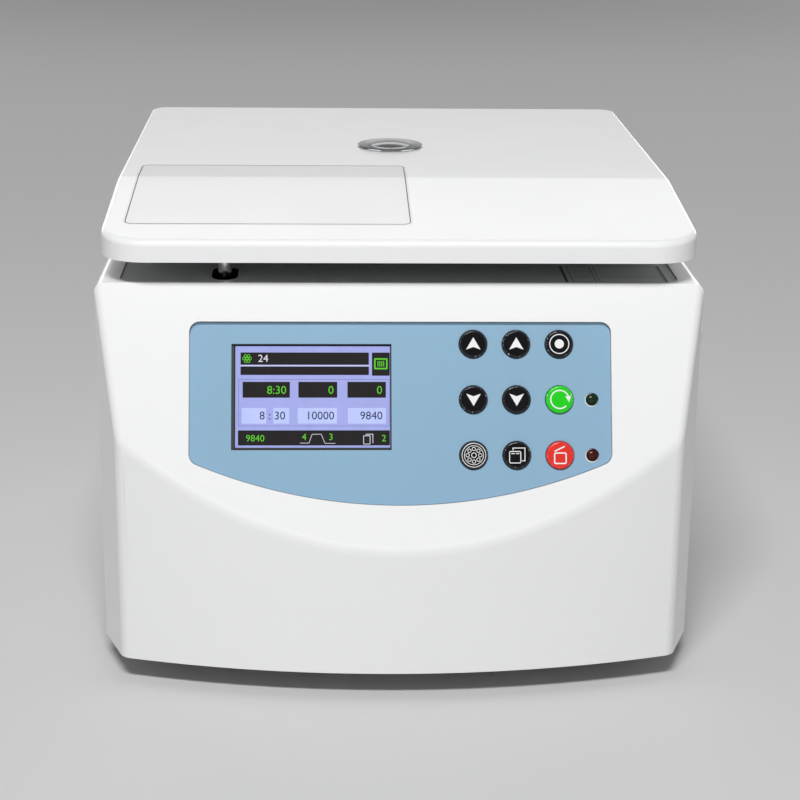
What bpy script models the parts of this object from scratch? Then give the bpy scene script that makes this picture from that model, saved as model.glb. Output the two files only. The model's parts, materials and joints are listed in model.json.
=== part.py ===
"""Hematocrit centrifuge: a bench instrument with a hinged lid, a sloping control panel and a 24-place rotor.

Metres, +Z up, +X to the right and +Y to the back. The origin is on the table, under the middle of the machine.
Every size is a named value below. Pieces on the sloping panel are drawn in the panel's own frame, whose
x runs to the right, y up the slope and z straight out of the panel, with zero at the cover's top edge.
"""

import math

import bmesh
import bpy
from mathutils import Matrix, Vector

# Shared clearances and counts
SEAT_GAP = 0.0003
OVERRUN = 0.002
WELD = 0.00001
FINE_STEPS = 36
ROUND_STEPS = 18
SMALL_STEPS = 12
KEY_STEPS = 14
DOME_STEPS = 4
CORNER_STEPS = 4
SLOT_END_STEPS = 6
FLUTE_STEPS = 8
EDGE_STEPS = 3
BLOCK_EDGE_STEPS = 2
SHARP_EDGE = math.radians(12)
SMOOTH_EDGE = math.radians(30)
SQUARE_EDGE = math.radians(60)
FLAT_EDGE = math.radians(0.2)
FACING_SHARE = 0.5
SQUARE_ON_SHARE = 0.99

# Overall machine: the rotor chamber and the room round it set the casing's width and depth
BOWL_RADIUS = 0.105
CASING_SIDE_ROOM = 0.038
CASING_FRONT_ROOM = 0.074
CASING_REAR_ROOM = 0.028
CASING_WIDTH = 2 * (BOWL_RADIUS + CASING_SIDE_ROOM)
CASING_DEPTH = CASING_FRONT_ROOM + 2 * BOWL_RADIUS + CASING_REAR_ROOM
CASING_HEIGHT = 0.178
FOOT_HEIGHT = 0.012
CASING_WALL = 0.003
CASING_REAR_RADIUS = 0.009
CASING_EDGE = 0.0042
COVER_REACH = 0.0479
INLET_PROUD = 0.0015

DECK_Z = FOOT_HEIGHT + CASING_HEIGHT
PARTING_Y = (COVER_REACH - CASING_DEPTH - INLET_PROUD) / 2
REAR_Y = PARTING_Y + CASING_DEPTH

# Deck plate let into the casing's rim
RIM_SIDE = 0.0110
RIM_FRONT = 0.0022
RIM_REAR = 0.0090
DECK_RADIUS = 0.008
DECK_THICKNESS = 0.002
LEDGE_WIDTH = 0.004
LEDGE_THICKNESS = 0.003
LEDGE_ROOT = 0.005
LEDGE_BITE = 0.0005

# Rotor chamber
BOWL_WALL = 0.0012
BOWL_DEPTH = 0.062
BOWL_CORNER = 0.010
BOWL_CORNER_STEPS = 3
BOWL_FLANGE = 0.012
BOWL_BORE = 0.017
BOWL_DECK_CLEARANCE = 0.0008
GASKET_WIDTH = 0.0075
GASKET_WAIST = 0.0020
GASKET_SHOULDER = 0.0025

ROTOR_Y = PARTING_Y + CASING_FRONT_ROOM + BOWL_RADIUS

# Lid
LID_SIDE_INSET = 0.0025
LID_OVERHANG = 0.009
LID_REAR_INSET = 0.003
LID_GAP = 0.0118
LID_RISE = 0.032
LID_FRONT_RISE = 0.0222
LID_CREASE_SETBACK = 0.0923
LID_WALL = 0.0025
LID_FRONT_RADIUS = 0.022
LID_REAR_RADIUS = 0.010
LID_EDGE = 0.003
LID_CORNER_STEPS = 4
LINER_THICKNESS = 0.002
LINER_SUNK = 0.0012
LID_DISC_THICKNESS = 0.001
LID_DISC_OVERLAP = 0.013
LID_DISC_HEM = 0.003

LID_WIDTH = CASING_WIDTH - 2 * LID_SIDE_INSET
LID_DISC_RADIUS = BOWL_RADIUS + LID_DISC_OVERLAP
LID_BOTTOM_Z = DECK_Z + LID_GAP
LID_TOP_Z = DECK_Z + LID_RISE
LINER_Z = LID_BOTTOM_Z + LINER_SUNK
LID_DISC_Z = LINER_Z - SEAT_GAP - LID_DISC_THICKNESS

# Sight glass over the rotor
SIGHT_BORE = 0.0112
SIGHT_TUBE_WALL = 0.0012
SIGHT_FLANGE_RADIUS = 0.0178
SIGHT_FLANGE = 0.001
SIGHT_RISE = 0.0032
SIGHT_GLASS = 0.0012
SIGHT_DOME_RADIUS = 0.0125

# Lid hinges
HINGE_SIDE_MARGIN = 0.058
HINGE_AXIS_INSET = 0.008
HINGE_AXIS_RISE = 0.0065
HINGE_PIN_RADIUS = 0.002
HINGE_PIN_CLEARANCE = 0.0001
HINGE_PIN_HEAD = 0.0032
HINGE_PIN_HEAD_LENGTH = 0.001
HINGE_EYE_RADIUS = 0.0042
HINGE_MIDDLE = 0.014
HINGE_SIDE = 0.009
HINGE_LEAF_WIDTH = 0.044
HINGE_LEAF_THICKNESS = 0.002
HINGE_LEAF_CLEARANCE = 0.0032
HINGE_LEAF_BACK = 0.003
HINGE_BASE_WIDTH = 0.030
HINGE_BASE_FRONT = 0.009
HINGE_BASE_BACK = 0.003
HINGE_BASE_THICKNESS = 0.0015

HINGE_HALF_SPACING = CASING_WIDTH / 2 - HINGE_SIDE_MARGIN
HINGE_Y = REAR_Y - HINGE_AXIS_INSET
HINGE_Z = DECK_Z + HINGE_AXIS_RISE

# Lid lock
LOCK_SIDE_MARGIN = 0.060
LOCK_SETBACK = 0.0206
LOCK_SLOT_WIDTH = 0.0121
LOCK_SLOT_LENGTH = 0.024
LOCK_PIN_RADIUS = 0.0033
LOCK_PIN_DROP = 0.024
LOCK_GROOVE_RADIUS = 0.002
LOCK_GROOVE_DROP = 0.017
LOCK_GROOVE_HEIGHT = 0.005
LOCK_PIN_FLANGE_RADIUS = 0.007
LOCK_PIN_FLANGE = 0.0018
LOCK_STUD_RADIUS = 0.003
LOCK_NUT_RADIUS = 0.005
LOCK_NUT = 0.003
LOCK_BOX_WALL = 0.0016
LOCK_BOX_SIDE = 0.0085
LOCK_BOX_BACK = 0.0165
LOCK_BOX_FRONT = 0.012
LOCK_BOX_DEPTH = 0.036
LATCH_THICKNESS = 0.003
LATCH_WIDTH = 0.013
LATCH_FORK_WIDTH = 0.005
LATCH_FORK_LENGTH = 0.008
LATCH_PLATE_LENGTH = 0.016
LATCH_STEM_RADIUS = 0.0025
LATCH_STEM_LENGTH = 0.022
SOLENOID_LENGTH = 0.032
SOLENOID_SIZE = 0.022

LOCK_X = LOCK_SIDE_MARGIN - CASING_WIDTH / 2
LOCK_Y = PARTING_Y + LOCK_SETBACK

# Emergency release plug in the right side wall
PLUG_SETBACK = 0.010
PLUG_DROP = 0.0245
PLUG_RADIUS = 0.00575
PLUG_PROUD = 0.0020
PLUG_RIM = 0.0007
PLUG_DOME_SHARES = (0.5, 0.12)
PLUG_STEM_RADIUS = 0.004
PLUG_STEM_LENGTH = 0.009

# Front cover
COVER_TILT = math.radians(22.4)
COVER_NOSE_INSET = 0.0106
COVER_SIDE_REACH = 0.0278
COVER_WALL = 0.003
COVER_EDGE = 0.0025
COVER_ARC_STEPS = 14
COVER_EDGE_STEPS = 2

COVER_NOSE_WIDTH = CASING_WIDTH - 2 * COVER_NOSE_INSET
COVER_SLOPE_LENGTH = COVER_REACH / math.sin(COVER_TILT)

# Control panel in its recess, in the panel's own frame
PANEL_SIDE_MARGIN = 0.0443
PANEL_TOP = 0.0181
PANEL_BOTTOM_MARGIN = 0.0216
PANEL_BOTTOM_SAG = 0.0205
PANEL_TOP_CORNER = 0.005
PANEL_BOTTOM_CORNER = 0.0055
PANEL_ARC_STEPS = 10
PANEL_CORNER_STEPS = 3
PANEL_RECESS = 0.0034
PANEL_THICKNESS = 0.0011
PANEL_FLOOR = 0.0022
PANEL_BACKING_MARGIN = 0.0035
PANEL_BACKING_ROOT = 0.0015

PANEL_HALF_WIDTH = CASING_WIDTH / 2 - PANEL_SIDE_MARGIN
PANEL_BOTTOM = COVER_SLOPE_LENGTH - PANEL_BOTTOM_MARGIN

# Keys and lamps: three columns and three rows, and two lamps beside the lower rows
KEY_RIGHT_MARGIN = 0.0244
KEY_COLUMN_PITCH = 0.0202
KEY_TOP = 0.0285
KEY_BOTTOM_MARGIN = 0.0234
KEY_RADIUS = 0.00655
KEY_CLEARANCE = 0.0003
KEY_TRAVEL = 0.0008
KEY_CROWN = 0.0003
KEY_SHOULDER = 0.0009
KEY_EDGE = 0.0015
KEY_DOME_SHARES = (0.5, 0.25)
KEY_COLLAR = 0.0009
KEY_COLLAR_HEIGHT = 0.0012
LAMP_RIGHT_MARGIN = 0.0092
LAMP_RADIUS = 0.00295
LAMP_CROWN = 0.0010
LAMP_SHOULDER_SHARES = (0.7, 0.12)
LAMP_EDGE_SHARES = (1.0, 0.4)
KEY_NAMES = (
    ("key_speed_up", "key_time_up", "key_store"),
    ("key_speed_down", "key_time_down", "key_start"),
    ("key_rotor", "key_program", "key_stop_open"),
)

KEY_LEFT = PANEL_HALF_WIDTH - KEY_RIGHT_MARGIN - (len(KEY_NAMES[0]) - 1) * KEY_COLUMN_PITCH
KEY_ROW_PITCH = (PANEL_BOTTOM - KEY_BOTTOM_MARGIN - KEY_TOP) / (len(KEY_NAMES) - 1)
LAMP_X = PANEL_HALF_WIDTH - LAMP_RIGHT_MARGIN

# Display
DISPLAY_LEFT_MARGIN = 0.0196
DISPLAY_KEY_GAP = 0.0383
DISPLAY_TOP = 0.0284
DISPLAY_BOTTOM_MARGIN = 0.0259
DISPLAY_LIP = 0.0012
DISPLAY_BORDER_LEFT = 0.0016
DISPLAY_BORDER_RIGHT = 0.0004
DISPLAY_BORDER_END = 0.0008
DISPLAY_MODULE_DEPTH = 0.009
DISPLAY_GLASS = 0.0015
DISPLAY_SUNK = 0.0002

DISPLAY_LEFT = DISPLAY_LEFT_MARGIN - PANEL_HALF_WIDTH
DISPLAY_RIGHT = KEY_LEFT - DISPLAY_KEY_GAP
DISPLAY_BOTTOM = PANEL_BOTTOM - DISPLAY_BOTTOM_MARGIN

# Board behind the keys
KEY_BOARD_THICKNESS = 0.0016
KEY_BOARD_MARGIN = 0.0135
KEY_BOARD_RIGHT_MARGIN = 0.0060
KEY_POST_RADIUS = 0.003
KEY_POST_INSET = 0.0040
KEY_SOCKET_WIDTH = 0.024
KEY_SOCKET_HEIGHT = 0.007
KEY_SOCKET_DEPTH = 0.006

# Rotor: heights are below the deck
ROTOR_BOWL_GAP = 0.010
ROTOR_RIM = 0.005
ROTOR_RIM_DROP = 0.019
ROTOR_FACE_DROP = 0.026
ROTOR_BACK_DROP = 0.034
ROTOR_HUB_RADIUS = 0.014
ROTOR_HUB_TOP_DROP = 0.022
ROTOR_HUB_BACK_DROP = 0.048
ROTOR_GROOVE_INSET = 0.0085
ROTOR_GROOVE_DEPTH = 0.0035
ROTOR_SLOT_COUNT = 24
ROTOR_SLOT_START = 0.019
ROTOR_SLOT_WIDTH = 0.0026
ROTOR_SLOT_DEPTH = 0.003
ROTOR_RING_RISE = 0.005
SHAFT_RADIUS = 0.005
SHAFT_TOP_DROP = 0.007
SHAFT_CLEARANCE = 0.0003
ROTOR_COVER_OVERLAP = 0.001
ROTOR_COVER_THICKNESS = 0.0015
ROTOR_COVER_HUB_RADIUS = 0.018
ROTOR_COVER_HUB_TOP_DROP = 0.0155
ROTOR_COVER_SLOPE = 0.005
KNOB_RADIUS = 0.015
KNOB_RISE = 0.002
KNOB_EDGE = 0.002
KNOB_BORE_DEPTH = 0.010
KNOB_FLUTE_COUNT = 8
KNOB_FLUTE_RADIUS = 0.004
KNOB_FLUTE_BITE = 0.0022
KNOB_SKIRT = 0.003

ROTOR_RADIUS = BOWL_RADIUS - ROTOR_BOWL_GAP
ROTOR_GROOVE_INNER = ROTOR_RADIUS - ROTOR_GROOVE_INSET

# Motor, its dampers and the shaft boot
MOTOR_RADIUS = 0.042
MOTOR_BOSS_RADIUS = 0.012
MOTOR_BOSS_HEIGHT = 0.006
MOTOR_EDGE = 0.003
MOTOR_BORE_FLOOR = 0.024
MOTOR_FIN_COUNT = 12
MOTOR_FIN_WIDTH = 0.006
MOTOR_FIN_DEPTH = 0.002
MOTOR_FIN_END = 0.010
BRACKET_RADIUS = 0.060
BRACKET_THICKNESS = 0.004
BRACKET_WINDOW_INNER = 0.028
BRACKET_WINDOW_OUTER = 0.040
BRACKET_WINDOW_ANGLE = math.radians(70)
DAMPER_COUNT = 3
DAMPER_RING = 0.052
DAMPER_RADIUS = 0.0095
DAMPER_WAIST = 0.0065
DAMPER_HEIGHT = 0.0235
DAMPER_FLANGE = 0.004
BOOT_HEIGHT = 0.0109
BOOT_WALL = 0.0016
BOOT_GRIP = 0.005
BOOT_FLANGE_RADIUS = 0.024

# Base pan, feet and boards
PAN_THICKNESS = 0.0015
PAN_LIP = 0.012
PAN_SLOT_COUNT = 7
PAN_SLOT_WIDTH = 0.004
PAN_SLOT_LENGTH = 0.040
PAN_SLOT_PITCH = 0.009
FOOT_RADIUS = 0.011
FOOT_TOP_RADIUS = 0.0095
FOOT_EDGE = 0.0015
FOOT_SIDE_MARGIN = 0.031
FOOT_FRONT_MARGIN = 0.016
FOOT_REAR_MARGIN = 0.026
BOARD_MOTOR_GAP = 0.008
BOARD_SIDE_MARGIN = 0.013
BOARD_SETBACK = 0.060
BOARD_DEPTH = 0.130
BOARD_THICKNESS = 0.0016
BOARD_POST_HEIGHT = 0.008
BOARD_POST_RADIUS = 0.003
BOARD_POST_INSET = 0.006
SINK_WIDTH = 0.018
SINK_DEPTH = 0.070
SINK_HEIGHT = 0.026
SINK_MARGIN = 0.014
SINK_GROOVES = 4
SINK_GROOVE_WIDTH = 0.002
SINK_GROOVE_DEPTH = 0.018
CAPACITOR_RADIUS = 0.009
CAPACITOR_HEIGHT = 0.030
CAPACITOR_COUNT = 2
CAPACITOR_PITCH = 0.027
SUPPLY_SIDE_MARGIN = 0.009
SUPPLY_MOTOR_GAP = 0.012
SUPPLY_SETBACK = 0.060
SUPPLY_DEPTH = 0.130
SUPPLY_HEIGHT = 0.038
SUPPLY_EDGE = 0.0015

PAN_TOP_Z = FOOT_HEIGHT + PAN_THICKNESS
BOARD_LEFT = BRACKET_RADIUS + BOARD_MOTOR_GAP
BOARD_RIGHT = CASING_WIDTH / 2 - BOARD_SIDE_MARGIN
SUPPLY_LEFT = SUPPLY_SIDE_MARGIN - CASING_WIDTH / 2
SUPPLY_RIGHT = -(BRACKET_RADIUS + SUPPLY_MOTOR_GAP)

# Rear panel: mains inlet with a fuse drawer, mains switch and air slots
INLET_SIDE_MARGIN = 0.051
INLET_RISE = 0.044
INLET_WIDTH = 0.031
INLET_HEIGHT = 0.047
INLET_BODY_MARGIN = 0.0018
INLET_BODY_DEPTH = 0.027
SOCKET_WIDTH = 0.0242
SOCKET_HEIGHT = 0.0166
SOCKET_DEPTH = 0.0175
SOCKET_CHAMFER = 0.004
SOCKET_RISE = 0.0095
PRONG_WIDTH = 0.002
PRONG_HEIGHT = 0.004
PRONG_LENGTH = 0.0115
PRONG_PITCH = 0.007
PRONG_RAISE = 0.002
DRAWER_WIDTH = 0.022
DRAWER_HEIGHT = 0.011
DRAWER_DEPTH = 0.018
DRAWER_DROP = 0.0125
DRAWER_PROUD = 0.0004
DRAWER_GRIP = 0.001
SWITCH_INLET_PITCH = 0.040
SWITCH_WIDTH = 0.015
SWITCH_HEIGHT = 0.022
SWITCH_FLANGE = 0.0022
SWITCH_PROUD = 0.0012
SWITCH_BODY_DEPTH = 0.018
SWITCH_WELL_MARGIN = 0.0016
SWITCH_WELL_DEPTH = 0.010
ROCKER_CLEARANCE = 0.0004
ROCKER_END_CLEARANCE = 0.0009
ROCKER_TILT = math.radians(10)
ROCKER_PIVOT_DEPTH = 0.003
ROCKER_HALF_THICKNESS = 0.0021
ROCKER_PIN_RADIUS = 0.0012
ROCKER_PIN_REACH = 0.0007
VENT_COUNT = 10
VENT_X = 0.010
VENT_PITCH = 0.010
VENT_WIDTH = 0.004
VENT_RISE = 0.033
VENT_HEIGHT = 0.055

INLET_X = INLET_SIDE_MARGIN - CASING_WIDTH / 2
INLET_Z = FOOT_HEIGHT + INLET_RISE
SWITCH_X = INLET_X + SWITCH_INLET_PITCH
SWITCH_Z = INLET_Z
VENT_Z = FOOT_HEIGHT + VENT_RISE

# Finishes: colour, roughness, metallic
FINISHES = {
    "white_enamel": ((0.90, 0.90, 0.90), 0.38, 0.0),
    "grey_enamel": ((0.42, 0.43, 0.42), 0.45, 0.0),
    "blue_panel": ((0.30, 0.47, 0.65), 0.45, 0.0),
    "black_plastic": ((0.015, 0.015, 0.018), 0.35, 0.0),
    "green_key": ((0.02, 0.62, 0.02), 0.30, 0.0),
    "red_key": ((0.78, 0.03, 0.02), 0.30, 0.0),
    "green_lamp": ((0.01, 0.22, 0.10), 0.20, 0.0),
    "red_lamp": ((0.30, 0.01, 0.03), 0.20, 0.0),
    "display_face": ((0.38, 0.42, 0.74), 0.20, 0.0),
    "clear_plastic": ((0.85, 0.87, 0.88), 0.06, 0.0),
    "brushed_steel": ((0.62, 0.62, 0.61), 0.28, 1.0),
    "bright_steel": ((0.80, 0.80, 0.80), 0.10, 1.0),
    "alloy": ((0.70, 0.71, 0.73), 0.30, 1.0),
    "black_rubber": ((0.02, 0.02, 0.02), 0.75, 0.0),
    "grey_rubber": ((0.30, 0.30, 0.30), 0.70, 0.0),
    "zinc_sheet": ((0.55, 0.56, 0.55), 0.40, 1.0),
    "circuit_green": ((0.02, 0.16, 0.07), 0.45, 0.0),
    "white_plastic": ((0.86, 0.86, 0.84), 0.40, 0.0),
}

PARTS_NAME = "hematocrit_centrifuge"
CUTTERS_NAME = "cutters"


def clear_scene():
    """Remove every object and mesh collection that the file opened with."""
    for old in list(bpy.data.objects):
        bpy.data.objects.remove(old, do_unlink=True)


def make_collection(name):
    collection = bpy.data.collections.new(name)
    bpy.context.scene.collection.children.link(collection)
    return collection


def make_finish(name):
    """Give a Principled material its colour, roughness and metallic value."""
    colour, roughness, metallic = FINISHES[name]
    material = bpy.data.materials.new(name)
    material.use_nodes = True
    shader = material.node_tree.nodes["Principled BSDF"]
    shader.inputs["Base Color"].default_value = (*colour, 1)
    shader.inputs["Roughness"].default_value = roughness
    shader.inputs["Metallic"].default_value = metallic
    material.diffuse_color = (*colour, 1)
    return material


clear_scene()
PARTS = make_collection(PARTS_NAME)
CUTTERS = make_collection(CUTTERS_NAME)
MATERIALS = {name: make_finish(name) for name in FINISHES}

# Panel frame: x right, y up the slope, z out of the panel
PANEL_FRAME = Matrix((
    (1, 0, 0, 0),
    (0, math.sin(COVER_TILT), -math.cos(COVER_TILT), PARTING_Y),
    (0, math.cos(COVER_TILT), math.sin(COVER_TILT), DECK_Z),
    (0, 0, 0, 1),
))


# Building helpers


def add_piece(name, mesh, finish):
    """Put a mesh in the model as one named piece with its finish."""
    piece = bpy.data.objects.new(name, mesh)
    mesh.name = name
    mesh.materials.clear()
    mesh.materials.append(MATERIALS[finish])
    PARTS.objects.link(piece)
    return piece


def add_tool(name, mesh):
    """Put a mesh in the cutter collection, as a wire that never renders."""
    tool = bpy.data.objects.new(name, mesh)
    mesh.name = name
    CUTTERS.objects.link(tool)
    tool.hide_render = True
    tool.display_type = "WIRE"
    return tool


def combine(piece, tool, operation):
    change = piece.modifiers.new(operation.lower() + "_" + tool.name, "BOOLEAN")
    change.operation = operation
    change.object = tool
    change.solver = "EXACT"


def cut(piece, tool_name, tool_mesh):
    combine(piece, add_tool(tool_name, tool_mesh), "DIFFERENCE")


def join(piece, tool_name, tool_mesh):
    combine(piece, add_tool(tool_name, tool_mesh), "UNION")


def to_mesh(shape, smooth=True):
    """Turn a bmesh into a mesh, round surfaces shaded smooth."""
    mesh = bpy.data.meshes.new("shape")
    shape.to_mesh(mesh)
    shape.free()
    if smooth:
        mesh.shade_smooth()
        mesh.set_sharp_from_angle(angle=SMOOTH_EDGE)
    return mesh


def add_block(shape, low, high):
    """Add a box between two corners to a bmesh and return its vertices."""
    low = Vector(low)
    high = Vector(high)
    place = Matrix.Translation((low + high) / 2) @ Matrix.Diagonal((*(high - low), 1))
    return bmesh.ops.create_cube(shape, size=1, matrix=place)["verts"]


def block_mesh(low, high, edge=0, frame=None):
    """One box, its edges rounded by an edge radius if one is given."""
    shape = bmesh.new()
    add_block(shape, low, high)
    if edge:
        bmesh.ops.bevel(shape, geom=shape.edges[:], offset=edge, segments=BLOCK_EDGE_STEPS, profile=0.5,
                        affect="EDGES", material=-1)
    if frame:
        shape.transform(frame)
    return to_mesh(shape)


def blocks_mesh(boxes, frame=None):
    """Several boxes that don't touch each other, as one cutter."""
    shape = bmesh.new()
    for low, high in boxes:
        add_block(shape, low, high)
    if frame:
        shape.transform(frame)
    return to_mesh(shape)


def rod_mesh(radius, start, end, steps=SMALL_STEPS, frame=None):
    """A capped cylinder between two points."""
    start = Vector(start)
    end = Vector(end)
    axis = end - start
    turn = axis.to_track_quat("Z", "Y").to_matrix().to_4x4()
    shape = bmesh.new()
    bmesh.ops.create_cone(shape, cap_ends=True, segments=steps, radius1=radius, radius2=radius,
                          depth=axis.length, matrix=Matrix.Translation((start + end) / 2) @ turn)
    if frame:
        shape.transform(frame)
    return to_mesh(shape)


def turned_mesh(profile, steps, frame, closed=False):
    """Revolve a profile of (radius, height) points round the frame's z axis.

    The profile runs down its outer side. An open profile starts and ends on the axis.
    """
    outline = bpy.data.meshes.new("profile")
    count = len(profile)
    spans = [(i, i + 1) for i in range(count - 1)]
    if closed:
        spans.append((count - 1, 0))
    outline.from_pydata([(radius, 0, height) for radius, height in profile], spans, [])
    spinner = bpy.data.objects.new("profile", outline)
    CUTTERS.objects.link(spinner)
    screw = spinner.modifiers.new("turn", "SCREW")
    screw.steps = steps
    screw.render_steps = steps
    screw.use_merge_vertices = True
    screw.merge_threshold = WELD
    screw.use_smooth_shade = True
    mesh = evaluated_mesh(spinner)
    bpy.data.objects.remove(spinner, do_unlink=True)
    mesh.transform(frame)
    mesh.shade_smooth()
    mesh.set_sharp_from_angle(angle=SMOOTH_EDGE)
    return mesh


def evaluated_mesh(source):
    """The mesh that an object's modifiers or curve settings make, in its own frame."""
    graph = bpy.context.evaluated_depsgraph_get()
    graph.update()
    return bpy.data.meshes.new_from_object(source.evaluated_get(graph), depsgraph=graph)


def upright(x, y, z=0):
    return Matrix.Translation((x, y, z))


def plate_mesh(loops, low, high, frame=None):
    """A flat plate between two heights, from its outline and the outlines of its holes."""
    drawing = bpy.data.curves.new("outline", "CURVE")
    drawing.dimensions = "2D"
    drawing.fill_mode = "BOTH"
    drawing.extrude = (high - low) / 2
    for loop in loops:
        spline = drawing.splines.new("POLY")
        spline.points.add(len(loop) - 1)
        for point, (x, y) in zip(spline.points, loop):
            point.co = (x, y, 0, 1)
        spline.use_cyclic_u = True
    holder = bpy.data.objects.new("outline", drawing)
    CUTTERS.objects.link(holder)
    mesh = evaluated_mesh(holder)
    bpy.data.objects.remove(holder, do_unlink=True)
    shape = bmesh.new()
    shape.from_mesh(mesh)
    bmesh.ops.remove_doubles(shape, verts=shape.verts, dist=WELD)
    bmesh.ops.recalc_face_normals(shape, faces=shape.faces)
    bmesh.ops.translate(shape, verts=shape.verts, vec=(0, 0, (low + high) / 2))
    if frame:
        shape.transform(frame)
    return to_mesh(shape)


def arc(cx, cy, radius, start, end, steps):
    """Points along an arc, both ends included, angles in radians."""
    return [
        (cx + radius * math.cos(start + (end - start) * i / steps),
         cy + radius * math.sin(start + (end - start) * i / steps))
        for i in range(steps + 1)
    ]


def circle(cx, cy, radius, steps=ROUND_STEPS):
    return arc(cx, cy, radius, 0, 2 * math.pi, steps)[:-1]


def rounded_rectangle(left, right, front, back, front_radius, back_radius, steps=CORNER_STEPS):
    """A rectangle's outline with one corner radius in front and another behind; zero leaves a corner square."""
    quarter = math.pi / 2
    corners = (
        (right - back_radius, back - back_radius, back_radius, 0),
        (left + back_radius, back - back_radius, back_radius, quarter),
        (left + front_radius, front + front_radius, front_radius, 2 * quarter),
        (right - front_radius, front + front_radius, front_radius, 3 * quarter),
    )
    points = []
    for cx, cy, radius, start in corners:
        if radius:
            points += arc(cx, cy, radius, start, start + quarter, steps)
        else:
            points.append((cx, cy))
    return points


def obround(cx, cy, width, length, steps=SLOT_END_STEPS):
    """A slot with round ends, its length along y."""
    radius = width / 2
    reach = length / 2 - radius
    return (arc(cx, cy + reach, radius, 0, math.pi, steps)
            + arc(cx, cy - reach, radius, math.pi, 2 * math.pi, steps))


def open_shell(name, outline, low, high, wall, finish):
    """A tray or hood: an outline face with its sides drawn from it, given a wall on its inner side."""
    shape = bmesh.new()
    ring = [shape.verts.new((x, y, low)) for x, y in outline]
    face = shape.faces.new(ring)
    drawn = bmesh.ops.extrude_edge_only(shape, edges=face.edges[:])["geom"]
    top = [part for part in drawn if isinstance(part, bmesh.types.BMVert)]
    bmesh.ops.translate(shape, verts=top, vec=(0, 0, high - low))
    bmesh.ops.recalc_face_normals(shape, faces=shape.faces)
    piece = add_piece(name, to_mesh(shape), finish)
    add_wall(piece, wall)
    return piece


def add_wall(piece, wall):
    thicken = piece.modifiers.new("wall", "SOLIDIFY")
    thicken.thickness = wall
    thicken.offset = -1
    thicken.use_even_offset = True


def soften(shape, edges, radius, segments):
    bmesh.ops.bevel(shape, geom=edges, offset=radius, segments=segments, profile=0.5,
                    affect="EDGES", material=-1, clamp_overlap=True)


# Casing, deck and base


def deck_outline(grow):
    """The outline of the deck's opening in the casing's rim, grown or shrunk evenly."""
    half = CASING_WIDTH / 2 - RIM_SIDE + grow
    front = PARTING_Y + RIM_FRONT - grow
    back = REAR_Y - RIM_REAR + grow
    radius = DECK_RADIUS + grow
    return rounded_rectangle(-half, half, front, back, radius, radius)


def make_casing():
    """Side walls, rear wall and rim in one hood, open in front and below."""
    half = CASING_WIDTH / 2
    outline = rounded_rectangle(-half, half, PARTING_Y + SEAT_GAP, REAR_Y, 0, CASING_REAR_RADIUS)
    shape = bmesh.new()
    shape.from_mesh(plate_mesh([outline], FOOT_HEIGHT, DECK_Z))
    gone = [face for face in shape.faces if face.normal.z < -FACING_SHARE or face.normal.y < -SQUARE_ON_SHARE]
    bmesh.ops.delete(shape, geom=gone, context="FACES")
    top_faces = [face for face in shape.faces if face.normal.z > FACING_SHARE]
    bmesh.ops.dissolve_faces(shape, faces=top_faces)
    rim = [edge for edge in shape.edges
           if len(edge.link_faces) == 2 and edge.calc_face_angle() > SHARP_EDGE
           and all(abs(vert.co.z - DECK_Z) < WELD for vert in edge.verts)]
    soften(shape, rim, CASING_EDGE, EDGE_STEPS)
    casing = add_piece("casing", to_mesh(shape), "white_enamel")
    add_wall(casing, CASING_WALL)

    ledge_outer = rounded_rectangle(
        -half + RIM_SIDE - LEDGE_ROOT, half - RIM_SIDE + LEDGE_ROOT,
        PARTING_Y + 2 * SEAT_GAP, REAR_Y - RIM_REAR + LEDGE_ROOT, 0, DECK_RADIUS)
    ledge_top = DECK_Z - CASING_WALL
    join(casing, "deck_ledge", plate_mesh(
        [ledge_outer, deck_outline(-LEDGE_WIDTH)],
        ledge_top - LEDGE_THICKNESS, ledge_top + LEDGE_BITE))
    cut(casing, "deck_opening", plate_mesh([deck_outline(0)], ledge_top, DECK_Z + OVERRUN))
    cut(casing, "inlet_opening", block_mesh(
        (INLET_X - INLET_WIDTH / 2 + INLET_BODY_MARGIN - SEAT_GAP, REAR_Y - CASING_WALL - OVERRUN,
         INLET_Z - INLET_HEIGHT / 2 + INLET_BODY_MARGIN - SEAT_GAP),
        (INLET_X + INLET_WIDTH / 2 - INLET_BODY_MARGIN + SEAT_GAP, REAR_Y + OVERRUN,
         INLET_Z + INLET_HEIGHT / 2 - INLET_BODY_MARGIN + SEAT_GAP)))
    cut(casing, "switch_opening", block_mesh(
        (SWITCH_X - SWITCH_WIDTH / 2 - SEAT_GAP, REAR_Y - CASING_WALL - OVERRUN,
         SWITCH_Z - SWITCH_HEIGHT / 2 - SEAT_GAP),
        (SWITCH_X + SWITCH_WIDTH / 2 + SEAT_GAP, REAR_Y + OVERRUN,
         SWITCH_Z + SWITCH_HEIGHT / 2 + SEAT_GAP)))
    vents = []
    for i in range(VENT_COUNT):
        x = VENT_X + i * VENT_PITCH
        vents.append(((x - VENT_WIDTH / 2, REAR_Y - CASING_WALL - OVERRUN, VENT_Z),
                      (x + VENT_WIDTH / 2, REAR_Y + OVERRUN, VENT_Z + VENT_HEIGHT)))
    cut(casing, "rear_vents", blocks_mesh(vents))
    plug_y = PARTING_Y + PLUG_SETBACK
    plug_z = DECK_Z - PLUG_DROP
    cut(casing, "plug_hole", rod_mesh(
        PLUG_STEM_RADIUS + SEAT_GAP,
        (half - CASING_WALL - OVERRUN, plug_y, plug_z), (half + OVERRUN, plug_y, plug_z)))


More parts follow.
